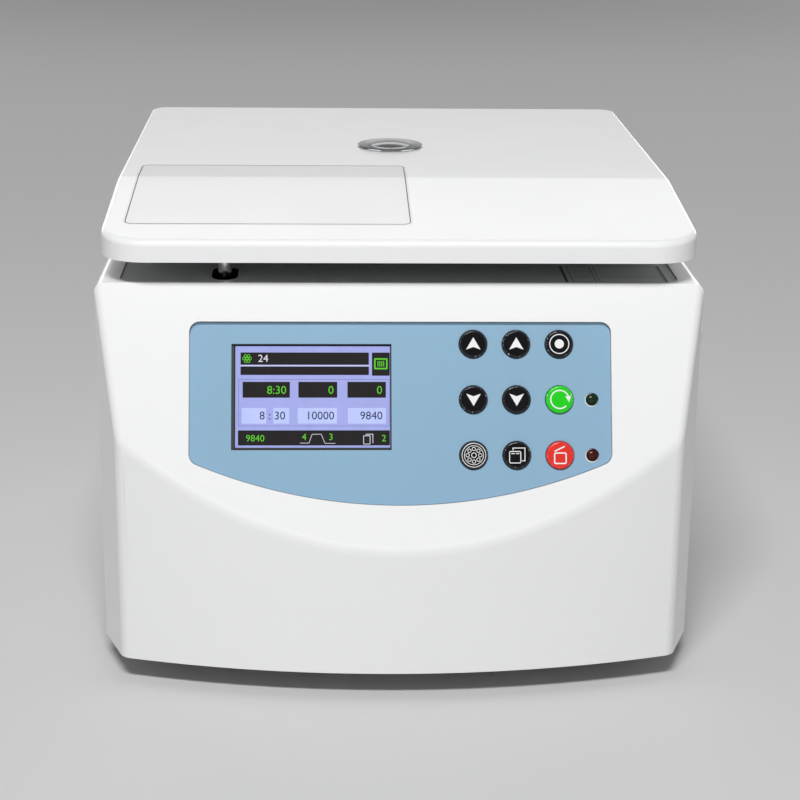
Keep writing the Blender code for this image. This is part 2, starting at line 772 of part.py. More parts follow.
def make_deck_plate():
    """The sheet deck, with the chamber opening and the lock slot, lying on the casing's ledge."""
    low = DECK_Z - CASING_WALL + SEAT_GAP
    opening = BOWL_RADIUS + BOWL_WALL + BOWL_DECK_CLEARANCE
    loops = [
        deck_outline(-SEAT_GAP),
        circle(0, ROTOR_Y, opening, FINE_STEPS),
        obround(LOCK_X, LOCK_Y, LOCK_SLOT_WIDTH, LOCK_SLOT_LENGTH),
    ]
    add_piece("deck_plate", plate_mesh(loops, low, low + DECK_THICKNESS), "grey_enamel")


def pan_outline(inset):
    """The machine's footprint: the casing's rectangle with the cover's nose in front of it."""
    half = CASING_WIDTH / 2 - inset
    back = REAR_Y - inset
    nose = nose_outline(inset, 0)
    radius = CASING_REAR_RADIUS - inset
    rear = arc(half - radius, back - radius, radius, 0, math.pi / 2, CORNER_STEPS)
    rear += arc(-half + radius, back - radius, radius, math.pi / 2, math.pi, CORNER_STEPS)
    return rear + [(-half, nose[0][1])] + nose[1:-1] + [(half, nose[-1][1])]


def make_base_pan():
    """The bottom tray with its air slots and the posts of the control board."""
    inset = CASING_WALL + SEAT_GAP
    pan = open_shell("base_pan", pan_outline(inset), FOOT_HEIGHT, FOOT_HEIGHT + PAN_LIP,
                     PAN_THICKNESS, "zinc_sheet")
    slots = []
    middle = (PAN_SLOT_COUNT - 1) / 2
    front = PARTING_Y + FOOT_FRONT_MARGIN
    for i in range(PAN_SLOT_COUNT):
        x = (i - middle) * PAN_SLOT_PITCH
        slots.append(((x - PAN_SLOT_WIDTH / 2, front, FOOT_HEIGHT - OVERRUN),
                      (x + PAN_SLOT_WIDTH / 2, front + PAN_SLOT_LENGTH, PAN_TOP_Z + OVERRUN)))
    cut(pan, "air_slots", blocks_mesh(slots))
    for i, (x, y) in enumerate(board_posts()):
        join(pan, "board_post_%d" % i, rod_mesh(
            BOARD_POST_RADIUS, (x, y, PAN_TOP_Z - PAN_THICKNESS / 2),
            (x, y, PAN_TOP_Z + BOARD_POST_HEIGHT)))


def board_posts():
    left = BOARD_LEFT + BOARD_POST_INSET
    right = BOARD_RIGHT - BOARD_POST_INSET
    front = PARTING_Y + BOARD_SETBACK + BOARD_POST_INSET
    back = PARTING_Y + BOARD_SETBACK + BOARD_DEPTH - BOARD_POST_INSET
    return [(left, front), (right, front), (left, back), (right, back)]


def make_feet():
    """Four rubber feet under the base pan."""
    top = FOOT_HEIGHT - SEAT_GAP
    profile = [(0, top), (FOOT_TOP_RADIUS, top), (FOOT_RADIUS, FOOT_EDGE),
               (FOOT_RADIUS - FOOT_EDGE, 0), (0, 0)]
    for end, y in (("front", PARTING_Y + FOOT_FRONT_MARGIN), ("rear", REAR_Y - FOOT_REAR_MARGIN)):
        for side, sign in (("left", -1), ("right", 1)):
            place = upright(sign * (CASING_WIDTH / 2 - FOOT_SIDE_MARGIN), y)
            add_piece("foot_%s_%s" % (end, side), turned_mesh(profile, SMALL_STEPS, place), "black_rubber")


def make_control_board():
    """The motor control board on its posts, with a finned heat sink and two capacitors."""
    low = PAN_TOP_Z + BOARD_POST_HEIGHT + SEAT_GAP
    top = low + BOARD_THICKNESS
    front = PARTING_Y + BOARD_SETBACK
    board = add_piece("control_board", block_mesh(
        (BOARD_LEFT, front, low), (BOARD_RIGHT, front + BOARD_DEPTH, top)), "circuit_green")
    sink_left = BOARD_RIGHT - SINK_MARGIN - SINK_WIDTH
    sink_front = front + SINK_MARGIN
    join(board, "heat_sink", block_mesh(
        (sink_left, sink_front, top - BOARD_THICKNESS / 2),
        (sink_left + SINK_WIDTH, sink_front + SINK_DEPTH, top + SINK_HEIGHT)))
    grooves = []
    pitch = SINK_WIDTH / SINK_GROOVES
    for i in range(SINK_GROOVES):
        x = sink_left + (i + 0.5) * pitch
        grooves.append((
            (x - SINK_GROOVE_WIDTH / 2, sink_front - OVERRUN, top + SINK_HEIGHT - SINK_GROOVE_DEPTH),
            (x + SINK_GROOVE_WIDTH / 2, sink_front + SINK_DEPTH + OVERRUN, top + SINK_HEIGHT + OVERRUN)))
    cut(board, "sink_grooves", blocks_mesh(grooves))
    for i in range(CAPACITOR_COUNT):
        x = BOARD_LEFT + SINK_MARGIN
        y = front + BOARD_DEPTH - SINK_MARGIN - i * CAPACITOR_PITCH
        join(board, "capacitor_%d" % i, rod_mesh(
            CAPACITOR_RADIUS, (x, y, top - BOARD_THICKNESS / 2), (x, y, top + CAPACITOR_HEIGHT)))


def make_power_supply():
    low = PAN_TOP_Z + SEAT_GAP
    front = PARTING_Y + SUPPLY_SETBACK
    add_piece("power_supply", block_mesh(
        (SUPPLY_LEFT, front, low),
        (SUPPLY_RIGHT, front + SUPPLY_DEPTH, low + SUPPLY_HEIGHT), SUPPLY_EDGE), "zinc_sheet")


# Front cover and control panel


def nose_outline(inset, behind):
    """Plan of the front cover from its left back corner round the nose to its right back corner.

    The two sides taper in to the nose's edges, and a flat arc joins those across the front.
    """
    edge = COVER_NOSE_WIDTH / 2
    sagitta = COVER_REACH - COVER_SIDE_REACH
    radius = (edge ** 2 + sagitta ** 2) / (2 * sagitta)
    centre = COVER_REACH - radius
    slope = (CASING_WIDTH / 2 - edge) / COVER_SIDE_REACH
    half = CASING_WIDTH / 2 - inset * math.sqrt(1 + slope ** 2)
    # The side line x = half - slope * forward meets the arc of radius - inset
    a = 1 + slope ** 2
    b = -2 * (slope * half + centre)
    c = half ** 2 + centre ** 2 - (radius - inset) ** 2
    forward = (-b + math.sqrt(b ** 2 - 4 * a * c)) / (2 * a)
    corner = half - slope * forward
    sweep = math.asin(corner / (radius - inset))
    back = PARTING_Y + behind
    points = [(-half - slope * behind, back)]
    for i in range(COVER_ARC_STEPS + 1):
        angle = sweep * (2 * i / COVER_ARC_STEPS - 1)
        points.append(((radius - inset) * math.sin(angle),
                       PARTING_Y - centre - (radius - inset) * math.cos(angle)))
    points.append((half + slope * behind, back))
    return points


def nose_shape(inset, behind, low, high):
    """The solid nose: its plan drawn upright, cut off by the sloping panel's plane."""
    shape = bmesh.new()
    shape.from_mesh(plate_mesh([nose_outline(inset, behind)], low, high))
    normal = PANEL_FRAME.to_3x3() @ Vector((0, 0, 1))
    origin = PANEL_FRAME.translation - normal * inset
    sliced = bmesh.ops.bisect_plane(
        shape, geom=shape.verts[:] + shape.edges[:] + shape.faces[:], dist=WELD,
        plane_co=origin, plane_no=normal, clear_outer=True)
    rim = [part for part in sliced["geom_cut"] if isinstance(part, bmesh.types.BMEdge)]
    bmesh.ops.edgeloop_fill(shape, edges=rim)
    bmesh.ops.dissolve_limit(shape, angle_limit=FLAT_EDGE, verts=shape.verts, edges=shape.edges)
    bmesh.ops.recalc_face_normals(shape, faces=shape.faces)
    return shape


def panel_outline(grow):
    """Outline of the recessed panel: straight top and sides, and a wide arc below."""
    half = PANEL_HALF_WIDTH + grow
    top = -(PANEL_TOP - grow)
    top_corner = PANEL_TOP_CORNER + grow
    bow = (PANEL_HALF_WIDTH ** 2 + PANEL_BOTTOM_SAG ** 2) / (2 * PANEL_BOTTOM_SAG)
    radius = bow + grow
    centre = bow - PANEL_BOTTOM
    corner = PANEL_BOTTOM_CORNER + grow
    corner_x = half - corner
    corner_y = centre - math.sqrt((radius - corner) ** 2 - corner_x ** 2)
    lean = math.atan2(corner_x, centre - corner_y)
    down = -math.pi / 2
    points = arc(half - top_corner, top - top_corner, top_corner, math.pi / 2, 0, PANEL_CORNER_STEPS)
    points += arc(corner_x, corner_y, corner, 0, down + lean, PANEL_CORNER_STEPS)
    points += arc(0, centre, radius, down + lean, down - lean, PANEL_ARC_STEPS)[1:-1]
    points += arc(-corner_x, corner_y, corner, down - lean, -math.pi, PANEL_CORNER_STEPS)
    points += arc(-half + top_corner, top - top_corner, top_corner, math.pi, math.pi / 2, PANEL_CORNER_STEPS)
    return points


def key_places():
    """Every key's name and its centre on the panel."""
    places = []
    for row, names in enumerate(KEY_NAMES):
        for column, name in enumerate(names):
            x = KEY_LEFT + column * KEY_COLUMN_PITCH
            y = -(KEY_TOP + row * KEY_ROW_PITCH)
            places.append((name, x, y))
    return places


def lamp_places():
    return [("lamp_run", LAMP_X, -(KEY_TOP + KEY_ROW_PITCH)),
            ("lamp_stop", LAMP_X, -(KEY_TOP + 2 * KEY_ROW_PITCH))]


def hole_outlines(grow):
    """Holes for the keys and lamps."""
    holes = [circle(x, y, KEY_RADIUS + grow, KEY_STEPS) for _, x, y in key_places()]
    holes += [circle(x, y, LAMP_RADIUS + grow, SMALL_STEPS) for _, x, y in lamp_places()]
    return holes


def display_outline(grow):
    return [(DISPLAY_LEFT - grow, -DISPLAY_BOTTOM - grow), (DISPLAY_RIGHT + grow, -DISPLAY_BOTTOM - grow),
            (DISPLAY_RIGHT + grow, -DISPLAY_TOP + grow), (DISPLAY_LEFT - grow, -DISPLAY_TOP + grow)]


def backing_depth():
    return PANEL_RECESS + PANEL_FLOOR


def key_board_box():
    """Left, right, bottom and top of the board behind the keys."""
    left = KEY_LEFT - KEY_BOARD_MARGIN
    right = LAMP_X + KEY_BOARD_RIGHT_MARGIN
    bottom = -(KEY_TOP + 2 * KEY_ROW_PITCH) - KEY_BOARD_MARGIN
    top = -KEY_TOP + KEY_BOARD_MARGIN - KEY_EDGE
    return left, right, bottom, top


def key_board_front():
    """Height of the key board's front face: under the key collars by their travel."""
    collar_back = backing_depth() + SEAT_GAP + KEY_COLLAR_HEIGHT
    return -(collar_back + KEY_TRAVEL + SEAT_GAP)


def make_front_cover():
    """The moulded nose with its recessed panel seat, display window and key holes."""
    outer = nose_shape(0, 0, FOOT_HEIGHT, DECK_Z)
    edges = [edge for edge in outer.edges
             if edge.calc_face_angle() > SHARP_EDGE
             and not all(abs(vert.co.y - PARTING_Y) < WELD for vert in edge.verts)
             and not all(abs(vert.co.z - FOOT_HEIGHT) < WELD for vert in edge.verts)]
    soften(outer, edges, COVER_EDGE, COVER_EDGE_STEPS)
    cover = add_piece("front_cover", to_mesh(outer), "white_enamel")
    cut(cover, "cover_hollow", to_mesh(nose_shape(
        COVER_WALL, OVERRUN, FOOT_HEIGHT - OVERRUN, DECK_Z)))
    join(cover, "panel_backing", plate_mesh(
        [panel_outline(PANEL_BACKING_MARGIN)], -backing_depth(), -PANEL_BACKING_ROOT, PANEL_FRAME))
    left, right, bottom, top = key_board_box()
    post_end = key_board_front() + SEAT_GAP
    for i, (x, y) in enumerate((
            (left + KEY_POST_INSET, bottom + KEY_POST_INSET),
            (left + KEY_POST_INSET, top - KEY_POST_INSET),
            (right - KEY_POST_INSET, top - KEY_POST_INSET))):
        join(cover, "key_post_%d" % i, rod_mesh(
            KEY_POST_RADIUS, (x, y, post_end), (x, y, -PANEL_RECESS - PANEL_FLOOR / 2), SMALL_STEPS, PANEL_FRAME))
    cut(cover, "panel_recess", plate_mesh([panel_outline(0)], -PANEL_RECESS, OVERRUN, PANEL_FRAME))
    through = backing_depth() + OVERRUN
    windows = [display_outline(DISPLAY_LIP + SEAT_GAP)] + hole_outlines(KEY_CLEARANCE)
    for i, loop in enumerate(windows):
        cut(cover, "panel_window_%d" % i, plate_mesh(
            [loop], -through, -PANEL_RECESS + OVERRUN, PANEL_FRAME))


def make_panel_face():
    """The blue panel, a plate with holes, seated in the cover's recess."""
    low = -PANEL_RECESS + SEAT_GAP
    loops = [panel_outline(-SEAT_GAP), display_outline(0)] + hole_outlines(KEY_CLEARANCE)
    add_piece("panel_face", plate_mesh(loops, low, low + PANEL_THICKNESS, PANEL_FRAME), "blue_panel")


def make_display():
    """The display module: a black frame through the cover's window, with its glass let in."""
    high = -PANEL_RECESS
    low = high - DISPLAY_MODULE_DEPTH
    pocket = high - DISPLAY_GLASS - DISPLAY_SUNK - SEAT_GAP
    left = DISPLAY_LEFT - DISPLAY_LIP
    right = DISPLAY_RIGHT + DISPLAY_LIP
    bottom = -DISPLAY_BOTTOM - DISPLAY_LIP
    top = -DISPLAY_TOP + DISPLAY_LIP
    glass_left = DISPLAY_LEFT + DISPLAY_BORDER_LEFT
    glass_right = DISPLAY_RIGHT - DISPLAY_BORDER_RIGHT
    glass_bottom = -DISPLAY_BOTTOM + DISPLAY_BORDER_END
    glass_top = -DISPLAY_TOP - DISPLAY_BORDER_END
    frame = add_piece("display_frame", block_mesh(
        (left, bottom, low), (right, top, high), 0, PANEL_FRAME), "black_plastic")
    cut(frame, "display_pocket", block_mesh(
        (glass_left - SEAT_GAP, glass_bottom - SEAT_GAP, pocket),
        (glass_right + SEAT_GAP, glass_top + SEAT_GAP, high + OVERRUN), 0, PANEL_FRAME))
    add_piece("display_glass", block_mesh(
        (glass_left, glass_bottom, pocket + SEAT_GAP),
        (glass_right, glass_top, high - DISPLAY_SUNK), 0, PANEL_FRAME), "display_face")


def make_keys():
    """Nine domed keys, each with a collar that holds it behind the cover."""
    collar_top = -(backing_depth() + SEAT_GAP)
    collar_low = collar_top - KEY_COLLAR_HEIGHT
    out_share, drop_share = KEY_DOME_SHARES
    profile = [
        (0, -KEY_CROWN),
        (KEY_RADIUS * out_share, -KEY_CROWN - (KEY_SHOULDER - KEY_CROWN) * drop_share),
        (KEY_RADIUS - KEY_SHOULDER, -KEY_SHOULDER),
        (KEY_RADIUS, -KEY_EDGE),
        (KEY_RADIUS, collar_top),
        (KEY_RADIUS + KEY_COLLAR, collar_top),
        (KEY_RADIUS + KEY_COLLAR, collar_low),
        (0, collar_low),
    ]
    finishes = {"key_start": "green_key", "key_stop_open": "red_key"}
    for name, x, y in key_places():
        place = PANEL_FRAME @ Matrix.Translation((x, y, 0))
        add_piece(name, turned_mesh(profile, KEY_STEPS, place), finishes.get(name, "black_plastic"))


def make_lamps():
    """Two signal lamps that stand on the key board and show through the panel."""
    low = key_board_front() + SEAT_GAP
    profile = [(0, -LAMP_CROWN)]
    for out_share, drop_share in (LAMP_SHOULDER_SHARES, LAMP_EDGE_SHARES):
        profile.append((LAMP_RADIUS * out_share, -LAMP_CROWN - LAMP_RADIUS * drop_share))
    profile += [(LAMP_RADIUS, low), (0, low)]
    for (name, x, y), finish in zip(lamp_places(), ("green_lamp", "red_lamp")):
        place = PANEL_FRAME @ Matrix.Translation((x, y, 0))
        add_piece(name, turned_mesh(profile, SMALL_STEPS, place), finish)


def make_key_board():
    """The board that carries the key switches, behind the keys, with its cable socket."""
    left, right, bottom, top = key_board_box()
    high = key_board_front()
    low = high - KEY_BOARD_THICKNESS
    board = add_piece("key_board", block_mesh(
        (left, bottom, low), (right, top, high), 0, PANEL_FRAME), "circuit_green")
    x = (left + right) / 2
    y = (top + bottom) / 2
    join(board, "key_socket", block_mesh(
        (x - KEY_SOCKET_WIDTH / 2, y - KEY_SOCKET_HEIGHT / 2, low - KEY_SOCKET_DEPTH),
        (x + KEY_SOCKET_WIDTH / 2, y + KEY_SOCKET_HEIGHT / 2, low + KEY_BOARD_THICKNESS / 2), 0, PANEL_FRAME))


# Chamber, motor and rotor


def bowl_flange_z():
    """Underside of the bowl's flange, on the deck plate."""
    return DECK_Z - CASING_WALL + SEAT_GAP + DECK_THICKNESS + SEAT_GAP


def make_chamber():
    """The pressed chamber bowl, hung by its flange in the deck, and the tall gasket on the flange."""
    low = bowl_flange_z()
    top = low + BOWL_WALL
    floor = DECK_Z - BOWL_DEPTH
    outer = BOWL_RADIUS + BOWL_WALL
    half_turn = -math.pi / 2
    profile = [(BOWL_RADIUS, top), (outer + BOWL_FLANGE, top), (outer + BOWL_FLANGE, low), (outer, low)]
    profile += arc(BOWL_RADIUS - BOWL_CORNER, floor + BOWL_CORNER, BOWL_CORNER + BOWL_WALL,
                   0, half_turn, BOWL_CORNER_STEPS)
    profile += [(BOWL_BORE, floor - BOWL_WALL), (BOWL_BORE, floor)]
    profile += arc(BOWL_RADIUS - BOWL_CORNER, floor + BOWL_CORNER, BOWL_CORNER, half_turn, 0, BOWL_CORNER_STEPS)
    place = upright(0, ROTOR_Y)
    add_piece("chamber_bowl", turned_mesh(profile, FINE_STEPS, place, closed=True), "brushed_steel")

    seat = top + SEAT_GAP
    crown = LID_DISC_Z - SEAT_GAP
    inner = outer + SEAT_GAP
    edge = inner + GASKET_WIDTH
    waist = (seat + crown) / 2
    ring = [
        (inner, crown - GASKET_WAIST), (inner + GASKET_SHOULDER, crown), (edge - GASKET_SHOULDER, crown),
        (edge, crown - GASKET_WAIST), (edge - GASKET_WAIST, waist), (edge, seat + GASKET_WAIST),
        (edge, seat), (inner, seat), (inner, seat + GASKET_WAIST), (inner + GASKET_WAIST, waist),
    ]
    add_piece("chamber_gasket", turned_mesh(ring, FINE_STEPS, place, closed=True), "black_rubber")


def motor_levels():
    """Heights of the dampers' seat, the bracket, the motor's foot, its bore's floor and its boss."""
    damper_low = PAN_TOP_Z + SEAT_GAP
    bracket_low = damper_low + DAMPER_HEIGHT + SEAT_GAP
    motor_low = bracket_low + BRACKET_THICKNESS + SEAT_GAP
    boss_top = DECK_Z - BOWL_DEPTH - BOWL_WALL - BOOT_HEIGHT
    return damper_low, bracket_low, motor_low, motor_low + MOTOR_BORE_FLOOR, boss_top


def make_motor():
    """The drive motor on a round bracket that stands on three rubber dampers."""
    damper_low, bracket_low, motor_low, bore_floor, boss_top = motor_levels()
    body_top = boss_top - MOTOR_BOSS_HEIGHT
    bore = SHAFT_RADIUS + SHAFT_CLEARANCE
    profile = [
        (0, bore_floor), (bore, bore_floor), (bore, boss_top),
        (MOTOR_BOSS_RADIUS, boss_top), (MOTOR_BOSS_RADIUS, body_top),
        (MOTOR_RADIUS - MOTOR_EDGE, body_top), (MOTOR_RADIUS, body_top - MOTOR_EDGE),
        (MOTOR_RADIUS, motor_low), (0, motor_low),
    ]
    motor = add_piece("motor_housing", turned_mesh(profile, ROUND_STEPS, upright(0, ROTOR_Y)), "alloy")
    grooves = bmesh.new()
    for i in range(MOTOR_FIN_COUNT):
        fresh = add_block(
            grooves,
            (MOTOR_RADIUS - MOTOR_FIN_DEPTH, -MOTOR_FIN_WIDTH / 2, motor_low + MOTOR_FIN_END),
            (MOTOR_RADIUS + OVERRUN, MOTOR_FIN_WIDTH / 2, body_top - MOTOR_FIN_END))
        bmesh.ops.rotate(grooves, verts=fresh, cent=(0, 0, 0),
                         matrix=Matrix.Rotation(2 * math.pi * i / MOTOR_FIN_COUNT, 3, "Z"))
    grooves.transform(upright(0, ROTOR_Y))
    cut(motor, "motor_grooves", to_mesh(grooves))

    loops = [circle(0, ROTOR_Y, BRACKET_RADIUS)]
    for i in range(DAMPER_COUNT):
        middle = 2 * math.pi * (i + 0.5) / DAMPER_COUNT + math.pi / 2
        start = middle - BRACKET_WINDOW_ANGLE / 2
        end = middle + BRACKET_WINDOW_ANGLE / 2
        loops.append(arc(0, ROTOR_Y, BRACKET_WINDOW_OUTER, start, end, CORNER_STEPS)
                     + arc(0, ROTOR_Y, BRACKET_WINDOW_INNER, end, start, CORNER_STEPS))
    add_piece("motor_bracket", plate_mesh(loops, bracket_low, bracket_low + BRACKET_THICKNESS), "zinc_sheet")

    top = damper_low + DAMPER_HEIGHT
    waist = (damper_low + top) / 2
    rubber = [
        (0, top), (DAMPER_RADIUS, top), (DAMPER_RADIUS, top - DAMPER_FLANGE), (DAMPER_WAIST, waist),
        (DAMPER_RADIUS, damper_low + DAMPER_FLANGE), (DAMPER_RADIUS, damper_low), (0, damper_low),
    ]
    for i in range(DAMPER_COUNT):
        angle = 2 * math.pi * i / DAMPER_COUNT + math.pi / 2
        place = upright(DAMPER_RING * math.cos(angle), ROTOR_Y + DAMPER_RING * math.sin(angle))
        add_piece("motor_damper_%d" % (i + 1), turned_mesh(rubber, SMALL_STEPS, place), "black_rubber")


def make_shaft_boot():
    """The rubber boot that closes the bowl's hole round the shaft."""
    boss_top = motor_levels()[-1]
    flange_top = DECK_Z - BOWL_DEPTH - BOWL_WALL - SEAT_GAP
    flange_low = flange_top - BOOT_WALL
    inner = MOTOR_BOSS_RADIUS + SEAT_GAP
    profile = [
        (BOOT_FLANGE_RADIUS, flange_top), (BOOT_FLANGE_RADIUS, flange_low),
        (BOWL_BORE + BOOT_WALL, flange_low), (inner + BOOT_WALL, boss_top),
        (inner + BOOT_WALL, boss_top - BOOT_GRIP), (inner, boss_top - BOOT_GRIP),
        (inner, boss_top), (BOWL_BORE, flange_top),
    ]
    add_piece("shaft_boot", turned_mesh(profile, ROUND_STEPS, upright(0, ROTOR_Y), closed=True), "black_rubber")


def make_rotor():
    """Shaft, slotted rotor disc and the rubber ring that the tubes' ends press against."""
    bore_floor = motor_levels()[3]
    shaft_low = bore_floor + SEAT_GAP
    place = upright(0, ROTOR_Y)
    add_piece("motor_shaft", rod_mesh(
        SHAFT_RADIUS, (0, ROTOR_Y, shaft_low), (0, ROTOR_Y, DECK_Z - SHAFT_TOP_DROP)), "bright_steel")

    rim_top = DECK_Z - ROTOR_RIM_DROP
    face = DECK_Z - ROTOR_FACE_DROP
    back = DECK_Z - ROTOR_BACK_DROP
    hub_top = DECK_Z - ROTOR_HUB_TOP_DROP
    hub_back = DECK_Z - ROTOR_HUB_BACK_DROP
    groove = face - ROTOR_GROOVE_DEPTH
    bore = SHAFT_RADIUS + SHAFT_CLEARANCE
    rim_inner = ROTOR_RADIUS - ROTOR_RIM
    profile = [
        (bore, hub_top), (ROTOR_HUB_RADIUS, hub_top), (ROTOR_HUB_RADIUS, face),
        (ROTOR_GROOVE_INNER, face), (ROTOR_GROOVE_INNER, groove), (rim_inner, groove), (rim_inner, rim_top),
        (ROTOR_RADIUS, rim_top), (ROTOR_RADIUS, back), (ROTOR_HUB_RADIUS, back),
        (ROTOR_HUB_RADIUS, hub_back), (bore, hub_back),
    ]
    disc = add_piece("rotor_disc", turned_mesh(profile, FINE_STEPS, place, closed=True), "alloy")
    slots = bmesh.new()
    slot_end = (ROTOR_GROOVE_INNER + rim_inner) / 2
    for i in range(ROTOR_SLOT_COUNT):
        fresh = add_block(slots, (ROTOR_SLOT_START, -ROTOR_SLOT_WIDTH / 2, face - ROTOR_SLOT_DEPTH),
                          (slot_end, ROTOR_SLOT_WIDTH / 2, face + OVERRUN))
        bmesh.ops.rotate(slots, verts=fresh, cent=(0, 0, 0),
                         matrix=Matrix.Rotation(2 * math.pi * (i + 0.5) / ROTOR_SLOT_COUNT, 3, "Z"))
    slots.transform(place)
    cut(disc, "tube_slots", to_mesh(slots))

    ring_low = groove + SEAT_GAP
    ring_inner = ROTOR_GROOVE_INNER + SEAT_GAP
    ring_outer = rim_inner - SEAT_GAP
    ring = [(ring_inner, face + ROTOR_RING_RISE), (ring_outer, face + ROTOR_RING_RISE),
            (ring_outer, ring_low), (ring_inner, ring_low)]
    add_piece("rotor_ring", turned_mesh(ring, FINE_STEPS, place, closed=True), "grey_rubber")


def make_rotor_cover():
    """The cover that lies on the rotor's rim and hub, and the fluted knob that clamps it."""
    rim_seat = DECK_Z - ROTOR_RIM_DROP + SEAT_GAP
    hub_seat = DECK_Z - ROTOR_HUB_TOP_DROP + SEAT_GAP
    hub_top = DECK_Z - ROTOR_COVER_HUB_TOP_DROP
    top = rim_seat + ROTOR_COVER_THICKNESS
    bore = SHAFT_RADIUS + SHAFT_CLEARANCE
    edge = ROTOR_RADIUS - ROTOR_COVER_OVERLAP
    profile = [
        (bore, hub_top), (ROTOR_COVER_HUB_RADIUS, hub_top), (ROTOR_COVER_HUB_RADIUS + ROTOR_COVER_SLOPE, top),
        (edge, top), (edge, rim_seat), (ROTOR_COVER_HUB_RADIUS + ROTOR_COVER_SLOPE, rim_seat),
        (ROTOR_HUB_RADIUS, hub_seat), (bore, hub_seat),
    ]
    place = upright(0, ROTOR_Y)
    add_piece("rotor_cover", turned_mesh(profile, FINE_STEPS, place, closed=True), "alloy")

    knob_low = hub_top + SEAT_GAP
    knob_top = DECK_Z + KNOB_RISE
    bore_top = knob_low + KNOB_BORE_DEPTH
    profile = [
        (0, knob_top), (KNOB_RADIUS - KNOB_EDGE, knob_top), (KNOB_RADIUS, knob_top - KNOB_EDGE),
        (KNOB_RADIUS, knob_low), (bore, knob_low), (bore, bore_top), (0, bore_top),
    ]
    knob = add_piece("rotor_knob", turned_mesh(profile, ROUND_STEPS, place), "black_plastic")
    for i in range(KNOB_FLUTE_COUNT):
        angle = 2 * math.pi * i / KNOB_FLUTE_COUNT
        reach = KNOB_RADIUS + KNOB_FLUTE_RADIUS - KNOB_FLUTE_BITE
        x = reach * math.cos(angle)
        y = ROTOR_Y + reach * math.sin(angle)
        cut(knob, "knob_flute_%d" % i, rod_mesh(
            KNOB_FLUTE_RADIUS, (x, y, knob_low + KNOB_SKIRT), (x, y, knob_top + OVERRUN), FLUTE_STEPS))


# Lid


def lid_outline(inset):
    half = LID_WIDTH / 2 - inset
    return rounded_rectangle(
        -half, half, PARTING_Y - LID_OVERHANG + inset, REAR_Y - LID_REAR_INSET - inset,
        LID_FRONT_RADIUS - inset, LID_REAR_RADIUS - inset, LID_CORNER_STEPS)


def make_lid_shell():
    """The moulded lid: flat over the chamber, then sloping down to its front edge."""
    shape = bmesh.new()
    shape.from_mesh(plate_mesh([lid_outline(0)], LID_BOTTOM_Z, LID_TOP_Z))
    run = LID_CREASE_SETBACK + LID_OVERHANG
    fall = LID_RISE - LID_FRONT_RISE
    normal = Vector((0, -fall, run)).normalized()
    crease = Vector((0, PARTING_Y + LID_CREASE_SETBACK, LID_TOP_Z))
    sliced = bmesh.ops.bisect_plane(
        shape, geom=shape.verts[:] + shape.edges[:] + shape.faces[:], dist=WELD,
        plane_co=crease, plane_no=normal, clear_outer=True)
    rim = [part for part in sliced["geom_cut"] if isinstance(part, bmesh.types.BMEdge)]
    bmesh.ops.edgeloop_fill(shape, edges=rim)
    bmesh.ops.dissolve_limit(shape, angle_limit=FLAT_EDGE, verts=shape.verts, edges=shape.edges)
    bmesh.ops.recalc_face_normals(shape, faces=shape.faces)
    underside = [face for face in shape.faces if face.normal.z < -FACING_SHARE]
    bmesh.ops.delete(shape, geom=underside, context="FACES")
    top_edge = [edge for edge in shape.edges
                if len(edge.link_faces) == 2 and edge.calc_face_angle() > SQUARE_EDGE]
    soften(shape, top_edge, LID_EDGE, EDGE_STEPS)
    lid = add_piece("lid_shell", to_mesh(shape), "white_enamel")
    add_wall(lid, LID_WALL)
    tube = SIGHT_BORE + SIGHT_TUBE_WALL + SEAT_GAP
    cut(lid, "sight_hole", rod_mesh(
        tube, (0, ROTOR_Y, LID_TOP_Z - LID_WALL - OVERRUN), (0, ROTOR_Y, LID_TOP_Z + OVERRUN), ROUND_STEPS))


def make_lid_inside():
    """The liner that closes the lid from below, and the steel disc that meets the gasket."""
    tube = SIGHT_BORE + SIGHT_TUBE_WALL + SEAT_GAP
    loops = [
        lid_outline(LID_WALL + SEAT_GAP),
        circle(0, ROTOR_Y, tube),
        circle(LOCK_X, LOCK_Y, LOCK_STUD_RADIUS + SEAT_GAP, SMALL_STEPS),
    ]
    add_piece("lid_liner", plate_mesh(loops, LINER_Z, LINER_Z + LINER_THICKNESS), "white_plastic")

    top = LINER_Z - SEAT_GAP
    low = LID_DISC_Z
    profile = [(SIGHT_BORE, top), (LID_DISC_RADIUS - LID_DISC_HEM / 2, top),
               (LID_DISC_RADIUS, low + LID_DISC_THICKNESS / 2), (LID_DISC_RADIUS - LID_DISC_HEM, low),
               (SIGHT_BORE, low)]
    add_piece("lid_disc", turned_mesh(profile, FINE_STEPS, upright(0, ROTOR_Y), closed=True), "brushed_steel")


